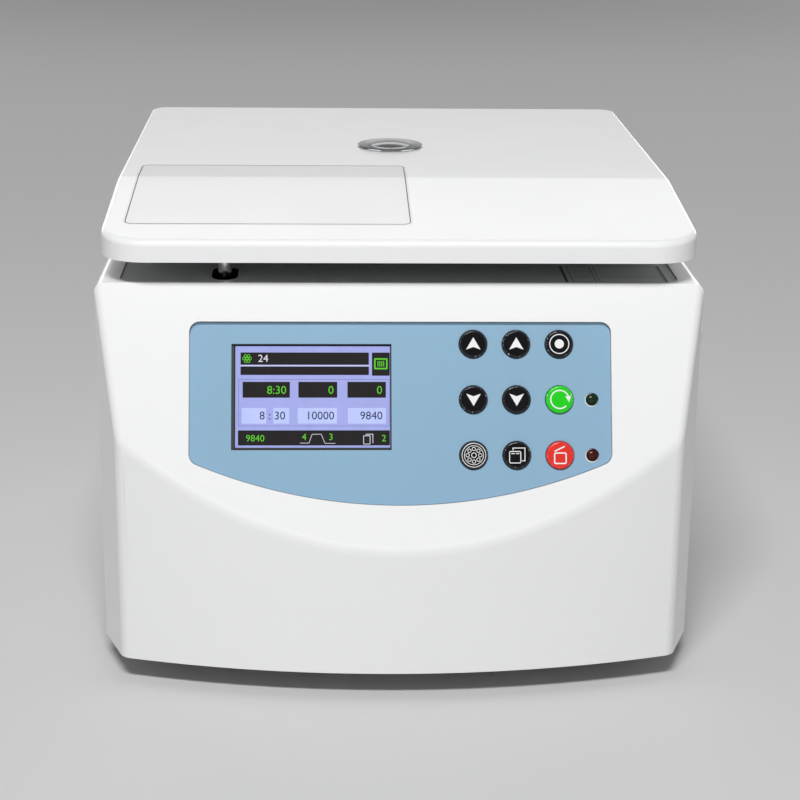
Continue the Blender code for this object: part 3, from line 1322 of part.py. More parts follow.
def make_sight_glass():
    """The sight tube through the lid and the clear domed lens on top of it."""
    low = LINER_Z + SEAT_GAP
    outer = SIGHT_BORE + SIGHT_TUBE_WALL
    profile = [(SIGHT_BORE, LID_TOP_Z), (outer, LID_TOP_Z), (outer, low), (SIGHT_BORE, low)]
    place = upright(0, ROTOR_Y)
    add_piece("sight_tube", turned_mesh(profile, ROUND_STEPS, place, closed=True), "black_plastic")

    seat = LID_TOP_Z + SEAT_GAP
    brim = seat + SIGHT_FLANGE
    crown = LID_TOP_Z + SIGHT_RISE
    rise = crown - brim
    turns = [i * math.pi / 2 / DOME_STEPS for i in range(DOME_STEPS + 1)]
    outside = [
        (SIGHT_DOME_RADIUS * math.sin(turn), brim + rise * math.cos(turn)) for turn in turns
    ]
    inner_radius = SIGHT_DOME_RADIUS - SIGHT_GLASS
    inner_rise = crown - SIGHT_GLASS - seat
    inside = [
        (inner_radius * math.sin(turn), seat + inner_rise * math.cos(turn)) for turn in reversed(turns)
    ]
    profile = outside + [(SIGHT_FLANGE_RADIUS, brim), (SIGHT_FLANGE_RADIUS, seat)] + inside
    add_piece("sight_lens", turned_mesh(profile, ROUND_STEPS, place), "clear_plastic")


def make_hinges():
    """Two lid hinges: a bracket on the rim, a leaf under the lid and a pin through both."""
    leaf_top = LINER_Z - SEAT_GAP
    leaf_low = leaf_top - HINGE_LEAF_THICKNESS
    base_low = DECK_Z + SEAT_GAP
    base_top = base_low + HINGE_BASE_THICKNESS
    bore = HINGE_PIN_RADIUS + HINGE_PIN_CLEARANCE
    half_middle = HINGE_MIDDLE / 2
    outer = half_middle + SEAT_GAP + HINGE_SIDE
    # The leaf's inner corner stays clear of the lid's disc
    corner = HINGE_HALF_SPACING - HINGE_LEAF_WIDTH / 2
    leaf_front = ROTOR_Y + math.sqrt(LID_DISC_RADIUS ** 2 - corner ** 2) + HINGE_LEAF_CLEARANCE
    for side, sign in (("left", -1), ("right", 1)):
        x = sign * HINGE_HALF_SPACING
        bracket = add_piece("hinge_bracket_" + side, block_mesh(
            (x - HINGE_BASE_WIDTH / 2, HINGE_Y - HINGE_BASE_FRONT, base_low),
            (x + HINGE_BASE_WIDTH / 2, HINGE_Y + HINGE_BASE_BACK, base_top)), "brushed_steel")
        join(bracket, "bracket_web_" + side, block_mesh(
            (x - half_middle, HINGE_Y - HINGE_EYE_RADIUS / 2, base_low + HINGE_BASE_THICKNESS / 2),
            (x + half_middle, HINGE_Y + HINGE_EYE_RADIUS / 2, HINGE_Z)))
        join(bracket, "bracket_eye_" + side, rod_mesh(
            HINGE_EYE_RADIUS, (x - half_middle, HINGE_Y, HINGE_Z), (x + half_middle, HINGE_Y, HINGE_Z)))
        cut(bracket, "bracket_bore_" + side, rod_mesh(
            bore, (x - outer, HINGE_Y, HINGE_Z), (x + outer, HINGE_Y, HINGE_Z)))

        leaf = add_piece("hinge_leaf_" + side, block_mesh(
            (x - HINGE_LEAF_WIDTH / 2, leaf_front, leaf_low),
            (x + HINGE_LEAF_WIDTH / 2, HINGE_Y - HINGE_LEAF_BACK, leaf_top)), "brushed_steel")
        for end, turn in (("inner", -1), ("outer", 1)):
            near = x + turn * (half_middle + SEAT_GAP)
            far = x + turn * outer
            tag = "%s_%s" % (side, end)
            join(leaf, "leaf_arm_" + tag, block_mesh(
                (min(near, far), HINGE_Y - HINGE_EYE_RADIUS, HINGE_Z),
                (max(near, far), HINGE_Y, leaf_low + HINGE_LEAF_THICKNESS / 2)))
            join(leaf, "leaf_eye_" + tag, rod_mesh(
                HINGE_EYE_RADIUS, (near, HINGE_Y, HINGE_Z), (far, HINGE_Y, HINGE_Z)))
        cut(leaf, "leaf_bore_" + side, rod_mesh(
            bore, (x - outer - OVERRUN, HINGE_Y, HINGE_Z), (x + outer + OVERRUN, HINGE_Y, HINGE_Z)))

        pin = add_piece("hinge_pin_" + side, rod_mesh(
            HINGE_PIN_RADIUS, (x - outer - SEAT_GAP - HINGE_PIN_HEAD_LENGTH / 2, HINGE_Y, HINGE_Z),
            (x + outer + SEAT_GAP + HINGE_PIN_HEAD_LENGTH, HINGE_Y, HINGE_Z)), "bright_steel")
        join(pin, "pin_head_" + side, rod_mesh(
            HINGE_PIN_HEAD, (x - outer - SEAT_GAP - HINGE_PIN_HEAD_LENGTH, HINGE_Y, HINGE_Z),
            (x - outer - SEAT_GAP, HINGE_Y, HINGE_Z)))


def make_lock():
    """The lock pin in the lid, the lock's box under the deck, and the solenoid with its forked latch."""
    flange_top = LINER_Z - SEAT_GAP
    flange_low = flange_top - LOCK_PIN_FLANGE
    nut_low = LINER_Z + LINER_THICKNESS + SEAT_GAP
    tip = DECK_Z - LOCK_PIN_DROP
    groove_middle = DECK_Z - LOCK_GROOVE_DROP
    groove_top = groove_middle + LOCK_GROOVE_HEIGHT / 2
    groove_low = groove_middle - LOCK_GROOVE_HEIGHT / 2
    lead = LOCK_PIN_RADIUS - LOCK_GROOVE_RADIUS
    profile = [
        (0, nut_low + LOCK_NUT), (LOCK_NUT_RADIUS, nut_low + LOCK_NUT), (LOCK_NUT_RADIUS, nut_low),
        (LOCK_STUD_RADIUS, nut_low), (LOCK_STUD_RADIUS, flange_top), (LOCK_PIN_FLANGE_RADIUS, flange_top),
        (LOCK_PIN_FLANGE_RADIUS, flange_low), (LOCK_PIN_RADIUS, flange_low), (LOCK_PIN_RADIUS, groove_top),
        (LOCK_GROOVE_RADIUS, groove_top), (LOCK_GROOVE_RADIUS, groove_low), (LOCK_PIN_RADIUS, groove_low),
        (LOCK_PIN_RADIUS, tip + lead), (LOCK_GROOVE_RADIUS, tip), (0, tip),
    ]
    add_piece("lock_pin", turned_mesh(profile, SMALL_STEPS, upright(LOCK_X, LOCK_Y)), "bright_steel")

    top = DECK_Z - CASING_WALL
    low = top - LOCK_BOX_DEPTH
    left = LOCK_X - LOCK_BOX_SIDE
    right = LOCK_X + LOCK_BOX_SIDE
    front = LOCK_Y - LOCK_BOX_FRONT
    back = LOCK_Y + LOCK_BOX_BACK
    box = add_piece("lock_housing", block_mesh((left, front, low), (right, back, top)), "black_plastic")
    cut(box, "lock_well", block_mesh(
        (left + LOCK_BOX_WALL, front + LOCK_BOX_WALL, low + LOCK_BOX_WALL),
        (right - LOCK_BOX_WALL, back - LOCK_BOX_WALL, top + OVERRUN)))
    latch_low = groove_middle - LATCH_THICKNESS / 2
    latch_high = groove_middle + LATCH_THICKNESS / 2
    cut(box, "latch_slot", block_mesh(
        (right - LOCK_BOX_WALL - OVERRUN, LOCK_Y - LATCH_WIDTH / 2 - SEAT_GAP, latch_low - SEAT_GAP),
        (right + OVERRUN, LOCK_Y + LATCH_WIDTH / 2 + SEAT_GAP, latch_high + SEAT_GAP)))

    latch_tip = LOCK_X + LOCK_PIN_RADIUS + SEAT_GAP
    latch_end = latch_tip + LATCH_PLATE_LENGTH
    latch = add_piece("lock_latch", block_mesh(
        (latch_tip, LOCK_Y - LATCH_WIDTH / 2, latch_low),
        (latch_end, LOCK_Y + LATCH_WIDTH / 2, latch_high)), "bright_steel")
    cut(latch, "latch_fork", block_mesh(
        (latch_tip - OVERRUN, LOCK_Y - LATCH_FORK_WIDTH / 2, latch_low - OVERRUN),
        (latch_tip + LATCH_FORK_LENGTH, LOCK_Y + LATCH_FORK_WIDTH / 2, latch_high + OVERRUN)))
    join(latch, "latch_stem", rod_mesh(
        LATCH_STEM_RADIUS, (latch_end - LATCH_THICKNESS, LOCK_Y, groove_middle),
        (latch_end + LATCH_STEM_LENGTH, LOCK_Y, groove_middle)))

    coil_left = latch_end + SEAT_GAP
    coil_half = SOLENOID_SIZE / 2
    coil = add_piece("lock_solenoid", block_mesh(
        (coil_left, LOCK_Y - coil_half, groove_middle - coil_half),
        (coil_left + SOLENOID_LENGTH, LOCK_Y + coil_half, top - SEAT_GAP)), "black_plastic")
    cut(coil, "solenoid_bore", rod_mesh(
        LATCH_STEM_RADIUS + SEAT_GAP, (coil_left - OVERRUN, LOCK_Y, groove_middle),
        (coil_left + LATCH_STEM_LENGTH + SEAT_GAP, LOCK_Y, groove_middle)))


def make_release_plug():
    """The domed plug that closes the emergency release hole in the right side wall."""
    wall = CASING_WIDTH / 2
    out_share, drop_share = PLUG_DOME_SHARES
    profile = [
        (0, PLUG_PROUD), (PLUG_RADIUS * out_share, PLUG_PROUD * (1 - drop_share)),
        (PLUG_RADIUS - PLUG_RIM, SEAT_GAP + PLUG_RIM), (PLUG_RADIUS, SEAT_GAP), (PLUG_STEM_RADIUS, SEAT_GAP),
        (PLUG_STEM_RADIUS, -PLUG_STEM_LENGTH), (0, -PLUG_STEM_LENGTH),
    ]
    outward = Matrix.Rotation(math.pi / 2, 4, "Y")
    place = Matrix.Translation((wall, PARTING_Y + PLUG_SETBACK, DECK_Z - PLUG_DROP)) @ outward
    add_piece("release_plug", turned_mesh(profile, SMALL_STEPS, place), "white_plastic")


# Rear panel


def make_inlet():
    """The mains inlet: a flange on the rear wall, a socket with three prongs, and a fuse drawer below it."""
    left = INLET_X - INLET_WIDTH / 2
    right = INLET_X + INLET_WIDTH / 2
    low = INLET_Z - INLET_HEIGHT / 2
    high = INLET_Z + INLET_HEIGHT / 2
    margin = INLET_BODY_MARGIN
    face = REAR_Y + INLET_PROUD
    inlet = add_piece("mains_inlet", block_mesh(
        (left, REAR_Y + SEAT_GAP, low), (right, face, high)), "black_plastic")
    join(inlet, "inlet_body", block_mesh(
        (left + margin, REAR_Y - INLET_BODY_DEPTH, low + margin),
        (right - margin, REAR_Y + INLET_PROUD / 2, high - margin)))
    socket_z = INLET_Z + SOCKET_RISE
    half = SOCKET_WIDTH / 2
    half_high = SOCKET_HEIGHT / 2
    mouth = [
        (INLET_X - half, socket_z + half_high), (INLET_X - half, socket_z - half_high + SOCKET_CHAMFER),
        (INLET_X - half + SOCKET_CHAMFER, socket_z - half_high),
        (INLET_X + half - SOCKET_CHAMFER, socket_z - half_high),
        (INLET_X + half, socket_z - half_high + SOCKET_CHAMFER), (INLET_X + half, socket_z + half_high),
    ]
    standing = Matrix.Rotation(math.pi / 2, 4, "X")
    cut(inlet, "socket_well", plate_mesh(
        [mouth], -(face + OVERRUN), -(face - SOCKET_DEPTH), standing))
    root = face - SOCKET_DEPTH
    prongs = []
    for column, rise in ((-1, -1), (0, 1), (1, -1)):
        x = INLET_X + column * PRONG_PITCH
        z = socket_z + rise * PRONG_RAISE
        prongs.append(((x - PRONG_WIDTH / 2, root - OVERRUN, z - PRONG_HEIGHT / 2),
                       (x + PRONG_WIDTH / 2, root + PRONG_LENGTH, z + PRONG_HEIGHT / 2)))
    join(inlet, "socket_prongs", blocks_mesh(prongs))
    drawer_z = INLET_Z - DRAWER_DROP
    drawer_half = DRAWER_WIDTH / 2
    drawer_half_high = DRAWER_HEIGHT / 2
    cut(inlet, "drawer_well", block_mesh(
        (INLET_X - drawer_half - SEAT_GAP, face - DRAWER_DEPTH - SEAT_GAP,
         drawer_z - drawer_half_high - SEAT_GAP),
        (INLET_X + drawer_half + SEAT_GAP, face + OVERRUN, drawer_z + drawer_half_high + SEAT_GAP)))
    drawer = add_piece("fuse_drawer", block_mesh(
        (INLET_X - drawer_half, face - DRAWER_DEPTH, drawer_z - drawer_half_high),
        (INLET_X + drawer_half, face - DRAWER_PROUD, drawer_z + drawer_half_high)), "black_plastic")
    cut(drawer, "drawer_grip", block_mesh(
        (INLET_X - drawer_half / 2, face - DRAWER_PROUD - DRAWER_GRIP, drawer_z - DRAWER_GRIP),
        (INLET_X + drawer_half / 2, face + OVERRUN, drawer_z + DRAWER_GRIP)))


def make_switch():
    """The mains switch: a frame in the rear wall and a rocker that tilts on a pin across it."""
    half = SWITCH_WIDTH / 2
    half_high = SWITCH_HEIGHT / 2
    face = REAR_Y + SWITCH_PROUD
    frame = add_piece("switch_frame", block_mesh(
        (SWITCH_X - half - SWITCH_FLANGE, REAR_Y + SEAT_GAP, SWITCH_Z - half_high - SWITCH_FLANGE),
        (SWITCH_X + half + SWITCH_FLANGE, face, SWITCH_Z + half_high + SWITCH_FLANGE)), "black_plastic")
    join(frame, "switch_body", block_mesh(
        (SWITCH_X - half, REAR_Y - SWITCH_BODY_DEPTH, SWITCH_Z - half_high),
        (SWITCH_X + half, REAR_Y + SWITCH_PROUD / 2, SWITCH_Z + half_high)))
    well_x = half - SWITCH_WELL_MARGIN
    well_z = half_high - SWITCH_WELL_MARGIN
    cut(frame, "switch_well", block_mesh(
        (SWITCH_X - well_x, face - SWITCH_WELL_DEPTH, SWITCH_Z - well_z),
        (SWITCH_X + well_x, face + OVERRUN, SWITCH_Z + well_z)))
    axis_y = face - ROCKER_PIVOT_DEPTH
    cut(frame, "rocker_bearing", rod_mesh(
        ROCKER_PIN_RADIUS + SEAT_GAP,
        (SWITCH_X - well_x - ROCKER_PIN_REACH - SEAT_GAP, axis_y, SWITCH_Z),
        (SWITCH_X + well_x + ROCKER_PIN_REACH + SEAT_GAP, axis_y, SWITCH_Z)))

    # The rocker is a shallow V that rests tilted, with its upper half pressed in
    reach = well_z - ROCKER_END_CLEARANCE
    lean = math.tan(ROCKER_TILT)
    thick = ROCKER_HALF_THICKNESS
    # Outline in depth and height round the pivot: outwards is positive
    side_view = [
        (thick, 0), (thick + lean * reach, reach), (-thick + lean * reach, reach),
        (-thick, 0), (-thick + lean * reach, -reach), (thick + lean * reach, -reach),
    ]
    width = well_x - ROCKER_CLEARANCE
    turn = Matrix(((0, 0, 1, 0), (1, 0, 0, 0), (0, 1, 0, 0), (0, 0, 0, 1)))
    pressed = Matrix.Rotation(ROCKER_TILT, 4, "Z")
    place = Matrix.Translation((SWITCH_X, axis_y, SWITCH_Z)) @ turn @ pressed
    rocker = add_piece("power_rocker", plate_mesh([side_view], -width, width, place), "black_plastic")
    join(rocker, "rocker_pin", rod_mesh(
        ROCKER_PIN_RADIUS, (SWITCH_X - well_x - ROCKER_PIN_REACH, axis_y, SWITCH_Z),
        (SWITCH_X + well_x + ROCKER_PIN_REACH, axis_y, SWITCH_Z)))


def main():
    make_casing()
    make_deck_plate()
    make_base_pan()
    make_feet()
    make_control_board()
    make_power_supply()
    make_front_cover()
    make_panel_face()
    make_display()
    make_keys()
    make_lamps()
    make_key_board()
    make_chamber()
    make_motor()
    make_shaft_boot()
    make_rotor()
    make_rotor_cover()
    make_lid_shell()
    make_lid_inside()
    make_sight_glass()
    make_hinges()
    make_lock()
    make_release_plug()
    make_inlet()
    make_switch()


main()
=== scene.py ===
import json
import math

import bmesh
import bpy
from mathutils import Matrix, Vector
from mathutils.bvhtree import BVHTree


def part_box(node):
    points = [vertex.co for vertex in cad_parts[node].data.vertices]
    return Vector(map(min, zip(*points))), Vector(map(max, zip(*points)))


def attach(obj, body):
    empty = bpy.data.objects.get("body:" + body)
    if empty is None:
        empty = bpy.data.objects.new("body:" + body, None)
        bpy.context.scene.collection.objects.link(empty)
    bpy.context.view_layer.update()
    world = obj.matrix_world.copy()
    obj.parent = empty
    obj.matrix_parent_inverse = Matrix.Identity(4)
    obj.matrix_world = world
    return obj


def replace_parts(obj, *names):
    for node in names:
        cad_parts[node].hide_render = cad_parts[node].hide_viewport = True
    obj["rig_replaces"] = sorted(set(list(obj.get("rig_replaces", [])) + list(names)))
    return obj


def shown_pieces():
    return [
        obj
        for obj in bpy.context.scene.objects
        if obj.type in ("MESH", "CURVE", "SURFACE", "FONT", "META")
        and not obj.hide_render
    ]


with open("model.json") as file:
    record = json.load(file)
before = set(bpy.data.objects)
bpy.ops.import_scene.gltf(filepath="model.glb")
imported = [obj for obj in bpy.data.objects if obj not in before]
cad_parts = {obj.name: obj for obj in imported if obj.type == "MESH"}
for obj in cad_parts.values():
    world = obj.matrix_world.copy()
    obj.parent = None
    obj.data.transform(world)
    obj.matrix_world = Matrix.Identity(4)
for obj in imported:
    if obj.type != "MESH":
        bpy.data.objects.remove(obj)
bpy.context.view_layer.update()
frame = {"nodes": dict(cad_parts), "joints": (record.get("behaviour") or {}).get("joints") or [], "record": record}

# Looks of a bench hematocrit centrifuge, in metres, in the machine's own frame

MM = 0.001
WELD = 0.01 * MM
SEAT = 0.3 * MM
OVERRUN = 2 * MM
PRINT = 0.03 * MM
PRINT_LIFT = 0.02 * MM
REACH = 20 * MM
SHARP_EDGE = math.radians(32)
SQUARE_EDGE = math.radians(60)
CREASED_EDGE = math.radians(12)
FLAT_ANGLE = math.radians(0.3)
FACING_SHARE = 0.5
SQUARE_ON_SHARE = 0.99
UP = Vector((0, 0, 1))
DOWN = Vector((0, 0, -1))
SIDEWAYS = Vector((1, 0, 0))
FORWARD = Vector((0, -1, 0))
UNMOVED = Matrix.Identity(4)
JOIN = "UNION"
CUT = "DIFFERENCE"
ROUND_STEPS = 96
SMALL_STEPS = 48
CORNER_STEPS = 14
LINE_CORNER_STEPS = 5
MARK_STEPS = 20
HUB_STEPS = 24
DIGIT_SHARE = 1.37

NODES = frame["nodes"]
BODIES = frame["record"]["behaviour"]["bodies"]
BODY_OF = {node: body for body, members in BODIES.items() for node in members}
SLOT_OF = {entry["node"]: entry["material_slot"] for entry in frame["record"]["subparts"]}
JOINTS = {joint["child"]: joint for joint in frame["joints"]}

CASING_LOW, CASING_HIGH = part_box("casing")
LID_LOW, LID_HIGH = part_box("lid_shell")
DECK_LOW, DECK_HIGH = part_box("deck_plate")
COVER_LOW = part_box("front_cover")[0]
ROTOR_LOW, ROTOR_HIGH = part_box("rotor_disc")
PARTING_Y = CASING_LOW.y - SEAT
REAR_Y = CASING_HIGH.y
DECK_Z = CASING_HIGH.z
ROTOR_Y = (ROTOR_LOW.y + ROTOR_HIGH.y) / 2

# The sloping panel's own axes: right, up the slope, and out of it

PRESS = Vector(JOINTS["key_start"]["axis"]).normalized()
OUT = -PRESS
UPSLOPE = OUT.cross(SIDEWAYS)
PANEL = Matrix((
    (SIDEWAYS.x, UPSLOPE.x, OUT.x, 0),
    (SIDEWAYS.y, UPSLOPE.y, OUT.y, PARTING_Y),
    (SIDEWAYS.z, UPSLOPE.z, OUT.z, DECK_Z),
    (0, 0, 0, 1),
))
PANEL_BACK = PANEL.inverted()
REAR_WALL = Matrix(((-1, 0, 0, 0), (0, 0, 1, REAR_Y), (0, 1, 0, 0), (0, 0, 0, 1)))


def panel_box(node):
    """A node's lowest and highest corner along the panel's own axes."""
    points = [PANEL_BACK @ v.co for v in NODES[node].data.vertices]
    low = Vector([min(p[i] for p in points) for i in range(3)])
    high = Vector([max(p[i] for p in points) for i in range(3)])
    return low, high


def middle_of(node):
    low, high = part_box(node)
    return (low + high) / 2


# Materials: the height of each finish's relief, then its shading

PEEL = 0.0008 * MM
COARSE_PEEL = 0.006 * MM
PRINT_PEEL = 0.001 * MM
MOULD_GRAIN = 0.015 * MM
FINE_GRAIN = 0.006 * MM
ROUGH_GRAIN = 0.02 * MM
RUBBER_GRAIN = 0.02 * MM
BRUSH_STROKE = 0.004 * MM
TURNED_RING = 0.003 * MM
FOIL_PEBBLE = 0.006 * MM
HAZE_SHARE = 1.1
HAZE_FLOOR = 0.001
# Marks the keys' rolled rims, where chipped print and painted glints go
RIM_WEAR_AND_GLINT = "rim_wear_and_glint"


def new_material(name, color, roughness, metallic=0.0):
    """A material whose shader starts with plain values."""
    material = bpy.data.materials.new(name)
    material.use_nodes = True
    shader = material.node_tree.nodes["Principled BSDF"]
    shader.inputs["Base Color"].default_value = (*color, 1)
    shader.inputs["Roughness"].default_value = roughness
    shader.inputs["Metallic"].default_value = metallic
    return material


def shader_of(material):
    return material.node_tree.nodes["Principled BSDF"]


def set_shader(material, **values):
    """Sets sockets that are the same all over, their names written with _ for each space."""
    for name, value in values.items():
        shader_of(material).inputs[name.replace("_", " ")].default_value = value


def place_on(material, stretch=(1, 1, 1), centre=(0, 0, 0)):
    """Object coordinates, centred and stretched."""
    nodes = material.node_tree.nodes
    source = nodes.new("ShaderNodeTexCoord")
    mapping = nodes.new("ShaderNodeMapping")
    mapping.vector_type = "TEXTURE"
    mapping.inputs["Location"].default_value = centre
    mapping.inputs["Scale"].default_value = [1 / s for s in stretch]
    material.node_tree.links.new(source.outputs["Object"], mapping.inputs["Vector"])
    return mapping.outputs["Vector"]


def noise(material, scale, detail=2.0, roughness=0.5, place=None):
    node = material.node_tree.nodes.new("ShaderNodeTexNoise")
    node.inputs["Scale"].default_value = scale
    node.inputs["Detail"].default_value = detail
    node.inputs["Roughness"].default_value = roughness
    material.node_tree.links.new(place or place_on(material), node.inputs["Vector"])
    return node.outputs["Fac"]


def spread(material, source, low, high, start=0.3, end=0.7):
    """A value that runs from low to high as the source runs from start to end."""
    node = material.node_tree.nodes.new("ShaderNodeMapRange")
    node.inputs["From Min"].default_value = start
    node.inputs["From Max"].default_value = end
    node.inputs["To Min"].default_value = low
    node.inputs["To Max"].default_value = high
    material.node_tree.links.new(source, node.inputs["Value"])
    return node.outputs["Result"]


def product(material, first, second):
    node = material.node_tree.nodes.new("ShaderNodeMath")
    node.operation = "MULTIPLY"
    material.node_tree.links.new(first, node.inputs[0])
    material.node_tree.links.new(second, node.inputs[1])
    return node.outputs[0]


def mix_colors(material, share, first, second):
    """A colour between two others, each a plain colour or a socket."""
    node = material.node_tree.nodes.new("ShaderNodeMix")
    node.data_type = "RGBA"
    sockets = [socket for socket in node.inputs if socket.type == "RGBA"]
    for socket, color in zip(sockets, (first, second)):
        if isinstance(color, bpy.types.NodeSocket):
            material.node_tree.links.new(color, socket)
        else:
            socket.default_value = (*color, 1)
    material.node_tree.links.new(share, node.inputs[0])
    return [socket for socket in node.outputs if socket.type == "RGBA"][0]


def vary_color(material, source, first, second, start=0.3, end=0.7):
    """Base colour that runs from one colour to another with the source."""
    color = mix_colors(material, spread(material, source, 0, 1, start, end), first, second)
    material.node_tree.links.new(color, shader_of(material).inputs["Base Color"])
    return color


def vary_roughness(material, source, low, high, start=0.3, end=0.7):
    value = spread(material, source, low, high, start, end)
    material.node_tree.links.new(value, shader_of(material).inputs["Roughness"])


def add_bump(material, source, distance):
    """Relief of that height in metres."""
    node = material.node_tree.nodes.new("ShaderNodeBump")
    node.inputs["Distance"].default_value = distance
    material.node_tree.links.new(source, node.inputs["Height"])
    material.node_tree.links.new(node.outputs["Normal"], shader_of(material).inputs["Normal"])


def shade(color, share):
    return [min(1, channel * share) for channel in color]


def hazed(color):
    """A polished colour where it is handled: a little lighter, and never quite black."""
    return [min(1, channel * HAZE_SHARE + HAZE_FLOOR) for channel in color]


def enamel(name, color, roughness, peel):
    """Sprayed paint: a faint orange peel, a slow drift in shade and wiped patches in its gloss."""
    material = new_material(name, color, roughness)
    vary_color(material, noise(material, 6, 2), color, shade(color, 0.985))
    vary_roughness(material, noise(material, 30, 3), roughness * 0.94, roughness * 1.07)
    add_bump(material, noise(material, 380, 2), peel)
    return material


def moulded(name, color, roughness, grain, drift=1.25):
    """Matt moulding with a fine spark-eroded grain and a slow drift in shade."""
    material = new_material(name, color, roughness)
    vary_color(material, noise(material, 55, 4), color, shade(color, drift))
    vary_roughness(material, noise(material, 300, 3), roughness * 0.85, min(1, roughness * 1.15))
    add_bump(material, noise(material, 2600, 2), grain)
    return material


def rubber(name, color):
    """Dull rubber with a mottled bloom."""
    material = new_material(name, color, 0.75)
    vary_color(material, noise(material, 80, 5), color, shade(color, 1.7))
    vary_roughness(material, noise(material, 180, 4), 0.62, 0.88)
    add_bump(material, noise(material, 1500, 3), RUBBER_GRAIN)
    return material


def brushed(name, color, roughness, stretch):
    """Sheet metal with long fine strokes along its least stretched axis."""
    material = new_material(name, color, roughness, 1.0)
    strokes = noise(material, 1, 4, 0.6, place_on(material, stretch))
    vary_color(material, strokes, shade(color, 0.84), color)
    vary_roughness(material, strokes, roughness * 0.75, roughness * 1.3)
    add_bump(material, strokes, BRUSH_STROKE)
    return material


def turned_metal(name, color, roughness, pitch):
    """Metal from the lathe: fine rings round the rotor's axis."""
    material = new_material(name, color, roughness, 1.0)
    rings = material.node_tree.nodes.new("ShaderNodeTexWave")
    rings.wave_type = "RINGS"
    rings.rings_direction = "Z"
    rings.inputs["Scale"].default_value = pitch
    rings.inputs["Distortion"].default_value = 1.2
    rings.inputs["Detail"].default_value = 2
    material.node_tree.links.new(place_on(material, centre=(0, ROTOR_Y, 0)), rings.inputs["Vector"])
    vary_color(material, noise(material, 60, 4), shade(color, 0.955), color)
    vary_roughness(material, rings.outputs["Fac"], roughness * 0.8, roughness * 1.25, 0, 1)
    add_bump(material, rings.outputs["Fac"], TURNED_RING)
    return material


def zinc(name, color):
    """Zinc coated sheet with its faint crystal spangle."""
    material = new_material(name, color, 0.42, 1.0)
    cells = material.node_tree.nodes.new("ShaderNodeTexVoronoi")
    cells.inputs["Scale"].default_value = 160
    material.node_tree.links.new(place_on(material), cells.inputs["Vector"])
    vary_color(material, cells.outputs["Color"], shade(color, 0.8), color, 0, 1)
    vary_roughness(material, cells.outputs["Color"], 0.3, 0.55, 0, 1)
    return material


def polished(name, color, sheen=0.5):
    """Polished moulding with faint handling haze."""
    material = new_material(name, color, 0.14)
    haze = noise(material, 240, 4)
    vary_color(material, haze, color, hazed(color))
    vary_roughness(material, haze, 0.09, 0.22)
    set_shader(material, Specular_IOR_Level=sheen)
    return material


def key_gloss(name, color, glint_and_chip_color):
    """Printed gloss cap whose print is chipped along the rolled edge; the white chips there are also painted
    glints of the lamps.
    """
    material = polished(name, color, 0.10)
    rim = material.node_tree.nodes.new("ShaderNodeAttribute")
    rim.attribute_name = RIM_WEAR_AND_GLINT
    # White specks along the rolled rim: chipped print that also serves as painted glints
    chip_and_glint_specks = spread(material, noise(material, 1100, 3, 0.7), 0, 1, 0.64, 0.66)
    haze = spread(material, noise(material, 240, 4), 0, 1)
    base = mix_colors(material, haze, color, hazed(color))
    worn_and_glinting = mix_colors(material, product(material, chip_and_glint_specks, rim.outputs["Fac"]), base, glint_and_chip_color)
    material.node_tree.links.new(worn_and_glinting, shader_of(material).inputs["Base Color"])
    gleam = spread(material, rim.outputs["Fac"], 0.10, 0.5, 0, 1)
    material.node_tree.links.new(gleam, shader_of(material).inputs["Specular IOR Level"])
    return material


def clear_plastic(name):
    """Polished clear acrylic with a grey tint, its darkness a painted dark reflection."""
    material = new_material(name, (0.24, 0.25, 0.26), 0.03)
    set_shader(material, Transmission_Weight=1.0, IOR=1.49, Specular_IOR_Level=0.1)
    vary_roughness(material, noise(material, 500, 3), 0.02, 0.07)
    return material


def glowing(name, color, strength):
    """A printed or lit field of the display, a little self-lit."""
    material = new_material(name, color, 0.25)
    set_shader(material, Emission_Strength=strength, Specular_IOR_Level=0.08)
    tone = vary_color(material, noise(material, 120, 2), color, shade(color, 0.93))
    material.node_tree.links.new(tone, shader_of(material).inputs["Emission Color"])
    return material


def panel_foil(name, color):
    """Satin printed foil with a very fine pebble."""
    material = new_material(name, color, 0.42)
    vary_color(material, noise(material, 16, 4), color, shade(color, 0.965))
    vary_roughness(material, noise(material, 200, 3), 0.36, 0.50)
    add_bump(material, noise(material, 2200, 2), FOIL_PEBBLE)
    set_shader(material, Specular_IOR_Level=0.35)
    return material


def circuit(name, mask, track):
    """Solder mask with lighter copper tracks showing through."""
    material = new_material(name, mask, 0.35)
    tracks = material.node_tree.nodes.new("ShaderNodeTexBrick")
    tracks.inputs["Scale"].default_value = 90
    tracks.inputs["Mortar Size"].default_value = 0.03
    material.node_tree.links.new(place_on(material), tracks.inputs["Vector"])
    vary_color(material, tracks.outputs["Fac"], mask, track, 0, 1)
    return material


